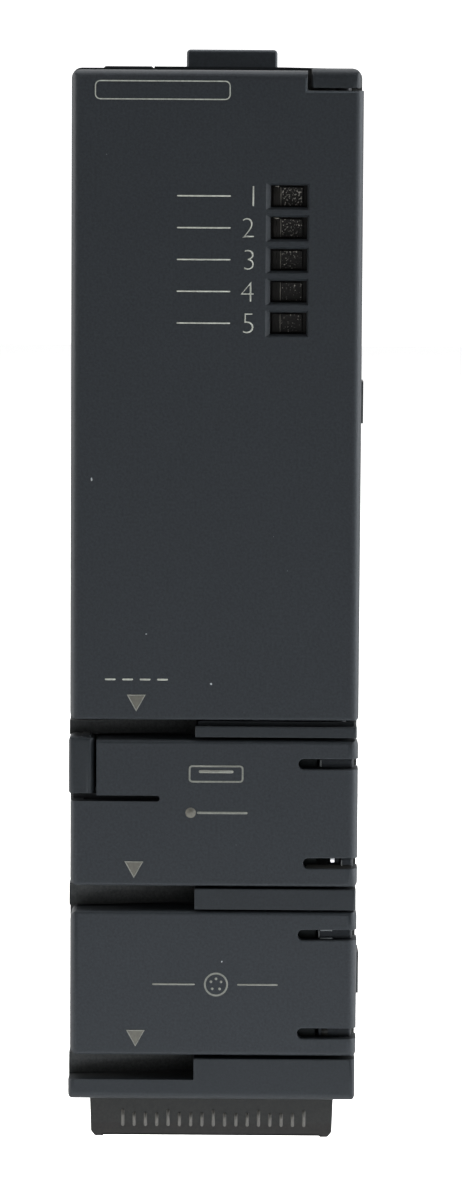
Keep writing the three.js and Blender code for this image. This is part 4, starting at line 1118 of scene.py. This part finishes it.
def numeral(text, right, low, high):
    """A thin printed number whose right edge and height are given."""
    curve = bpy.data.curves.new(f"numeral_{text}", "FONT")
    curve.body = text
    curve.offset = -0.024
    curve.resolution_u = 4
    shown = bpy.data.objects.new(f"numeral_{text}", curve)
    scratch.objects.link(shown)
    graph = bpy.context.evaluated_depsgraph_get()
    mesh = bpy.data.meshes.new_from_object(shown.evaluated_get(graph))
    bpy.data.objects.remove(shown)
    bm = bmesh.new()
    bm.from_mesh(mesh)
    bmesh.ops.remove_doubles(bm, verts=bm.verts, dist=1e-5)
    xs = [v.co.x for v in bm.verts]
    ys = [v.co.y for v in bm.verts]
    size = (high - low) / (max(ys) - min(ys))
    for v in bm.verts:
        across, up = right - (max(xs) - v.co.x) * size, low + (v.co.y - min(ys)) * size
        v.co = Vector((across, FRONT + INK_BEHIND, up))
    top = bmesh.ops.extrude_face_region(bm, geom=bm.faces[:])
    for v in (g for g in top["geom"] if isinstance(g, bmesh.types.BMVert)):
        v.co.y = FRONT - INK_PROUD
    ink_piece(f"numeral_{text}", from_bmesh(bm), "front_cover", INK)


for count, (low, high) in enumerate(window_spans()):
    middle = (high + low) / 2
    numeral(str(count + 1), 3.55, low + 0.1, high - 0.1)
    flat_mark(f"leader_{count + 1}", [bar((-3.6, middle), (1.3, middle), 0.14)], "front_cover", INK)

ring_mark("type_field", frame_outline((-11.4, 1.3), (45.95, 47.75), 0.5), 0.11, "front_cover", INK)


def pull_mark(name, x, top, body):
    half, high = 0.9, 1.6
    outline = [(x - half, top), (x + half, top), (x, top - high)]
    flat_mark(name, [outline], body, MARK_INK)
    ring_mark(name + "_edge", ccw(outline), 0.09, body, SIGN_INK, FRONT - 0.01)


pull_mark("pull_mark_front", -7.31, -10.05, "front_cover")
pull_mark("pull_mark_usb", -7.47, -26.0, "usb_cover")
pull_mark("pull_mark_serial", -7.27, -42.24, "serial_cover")

# port signs: a flat plug mouth, and a round one with its contacts
ring_mark("usb_sign", frame_outline((-2.3, 2.9), (-18.4, -16.75), 0.35), 0.17, "usb_cover", SIGN_INK)
flat_mark("usb_sign_bar", [bar((-1.2, -17.35), (1.8, -17.35), 0.3)], "usb_cover", SIGN_INK)
ring_mark("serial_sign", circle((0.4, -37.8), 1.15, 28), 0.17, "serial_cover", SIGN_INK)
turns = (0.5, 1.57, 2.64, 4.0, 5.4)
contacts = [circle((0.4 + 0.55 * math.cos(t), -37.8 + 0.55 * math.sin(t)), 0.13, 10) for t in turns]
flat_mark("serial_sign_contacts", contacts, "serial_cover", SIGN_INK)

# plain strokes beside the signs: a dot and line, two leader lines and a dashed line
flat_mark("usb_lead", [bar((-1.4, -21.3), (3.2, -21.3), 0.22)], "usb_cover", SIGN_INK)
flat_mark("usb_lead_dot", [circle((-2.1, -21.3), 0.5, 24)], "usb_cover", MARK_INK)
for side, span in (("left", (-5.6, -1.7)), ("right", (2.5, 6.2))):
    line = bar((span[0], -37.8), (span[1], -37.8), 0.17)
    flat_mark(f"serial_lead_{side}", [line], "serial_cover", SIGN_INK)
dashes = [bar((at, -8.6), (at + 0.85, -8.6), 0.17) for at in (-10.2, -8.55, -6.9, -5.25)]
flat_mark("pull_dashes", dashes, "front_cover", INK)

# a row of plain graduation ticks along the battery door
ticks = []
for i in range(17):
    at = -8.5 + i * (17.4 / 16)
    high = -50.55 if i % 4 == 0 else -50.85
    ticks.append(bar((at, high - 0.1), (at, -52.0), 0.32))
flat_mark("battery_ticks", ticks, "battery_cover", TICK_INK, TRAY_FRONT)


# ruled fields of the blank rating label
label_x, label_y, label_z = node_box("rating_label")
proud = (label_x[1] - 0.05, label_x[1] + 0.015)
heights = [label_z[0] + step for step in (4, 12, 20)] + [label_z[1] - step for step in (12, 4)]
rules = [box(proud, (label_y[0] + 2, label_y[1] - 2), (at - 0.1, at + 0.1)) for at in heights]
for at in (label_y[0] + 2.1, label_y[0] + 16, label_y[1] - 2.1):
    rules.append(box(proud, (at - 0.1, at + 0.1), (label_z[0] + 4, label_z[1] - 4)))
ink_piece("label_rules", join(*rules), "module", LINE_INK)


# ---------------- studio
FLOOR_Z = -0.1
FLOOR_REACH = 3
floor_mesh = bpy.data.meshes.new("floor")
corners = [(x * FLOOR_REACH, y * FLOOR_REACH, FLOOR_Z) for x, y in ((-1, -1), (1, -1), (1, 1), (-1, 1))]
floor_mesh.from_pydata(corners, [], [(0, 1, 2, 3)])
floor_mesh.materials.append(Surface("pale_floor").finish({"Base Color": grey(0.94), "Roughness": 0.9}))
floor = bpy.data.objects.new("floor", floor_mesh)
bpy.context.scene.collection.objects.link(floor)

# the sky is dimmer in front of the module than behind it
SKY_FRONT = 0.3
SKY_BEHIND = 1.3

world = bpy.data.worlds.new("studio")
bpy.context.scene.world = world
world.use_nodes = True
sky_nodes, sky_links = world.node_tree.nodes, world.node_tree.links
sky_where = sky_nodes.new("ShaderNodeTexCoord")
sky_split = sky_nodes.new("ShaderNodeSeparateXYZ")
sky_links.new(sky_where.outputs["Generated"], sky_split.inputs[0])
sky_range = sky_nodes.new("ShaderNodeMapRange")
sky_range.interpolation_type = "SMOOTHSTEP"
for name, value in (("From Min", -1.0), ("From Max", 0.35), ("To Min", SKY_FRONT), ("To Max", SKY_BEHIND)):
    sky_range.inputs[name].default_value = value
sky_links.new(sky_split.outputs["Y"], sky_range.inputs["Value"])
sky_links.new(sky_range.outputs["Result"], sky_nodes["Background"].inputs["Strength"])
sky_nodes["Background"].inputs["Color"].default_value = (1, 1, 1, 1)


def area_light(name, place_at, aim_at, size, power, colour=(1.0, 1.0, 1.0)):
    light = bpy.data.lights.new(name, "AREA")
    light.shape = "RECTANGLE"
    light.size, light.size_y = size
    light.energy = power
    light.color = colour
    made = bpy.data.objects.new(name, light)
    made.location = place_at
    made.rotation_euler = (Vector(aim_at) - Vector(place_at)).to_track_quat("-Z", "Y").to_euler()
    made.visible_camera = False
    bpy.context.scene.collection.objects.link(made)


area_light("low_front", (0.01, -0.21, -0.095), (0.0, -0.09, -0.095), (0.16, 0.03), 0.12)
area_light("left_side", (-0.6, -0.07, 0.05), (0, -0.07, 0), (0.4, 0.6), 8, (1.0, 0.95, 0.9))
area_light("right_side", (0.6, -0.07, 0.05), (0, -0.07, 0), (0.4, 0.6), 11)
area_light("top", (0, -0.11, 0.7), (0, -0.11, 0), (0.6, 0.3), 5)
area_light("under", (0, -0.12, -0.097), (0, -0.12, 0), (0.2, 0.04), 0.06)
area_light("backdrop", (0, 0.7, 1.1), (0, 0.6, -0.1), (1.6, 1.2), 14)

CAMERA_AT = Vector((0.0034, FRONT * MM - 0.42, 0.0398))
CAMERA_AIM = Vector((0.00161, FRONT * MM, -0.00099))
CAMERA_ROLL = math.radians(0.348)
camera = bpy.data.cameras.new("camera")
camera.sensor_fit = "VERTICAL"
camera.sensor_height = 36
camera.lens = 134.0
camera.clip_start = 0.01
camera.clip_end = 20
camera_object = bpy.data.objects.new("camera", camera)
camera_object.location = CAMERA_AT
look = (CAMERA_AIM - CAMERA_AT).to_track_quat("-Z", "Y")
camera_object.rotation_mode = "QUATERNION"
camera_object.rotation_quaternion = look @ Quaternion((0, 0, 1), CAMERA_ROLL)
bpy.context.scene.collection.objects.link(camera_object)
bpy.context.scene.camera = camera_object
bpy.context.scene.view_settings.view_transform = "Standard"

bpy.data.collections.remove(scratch)
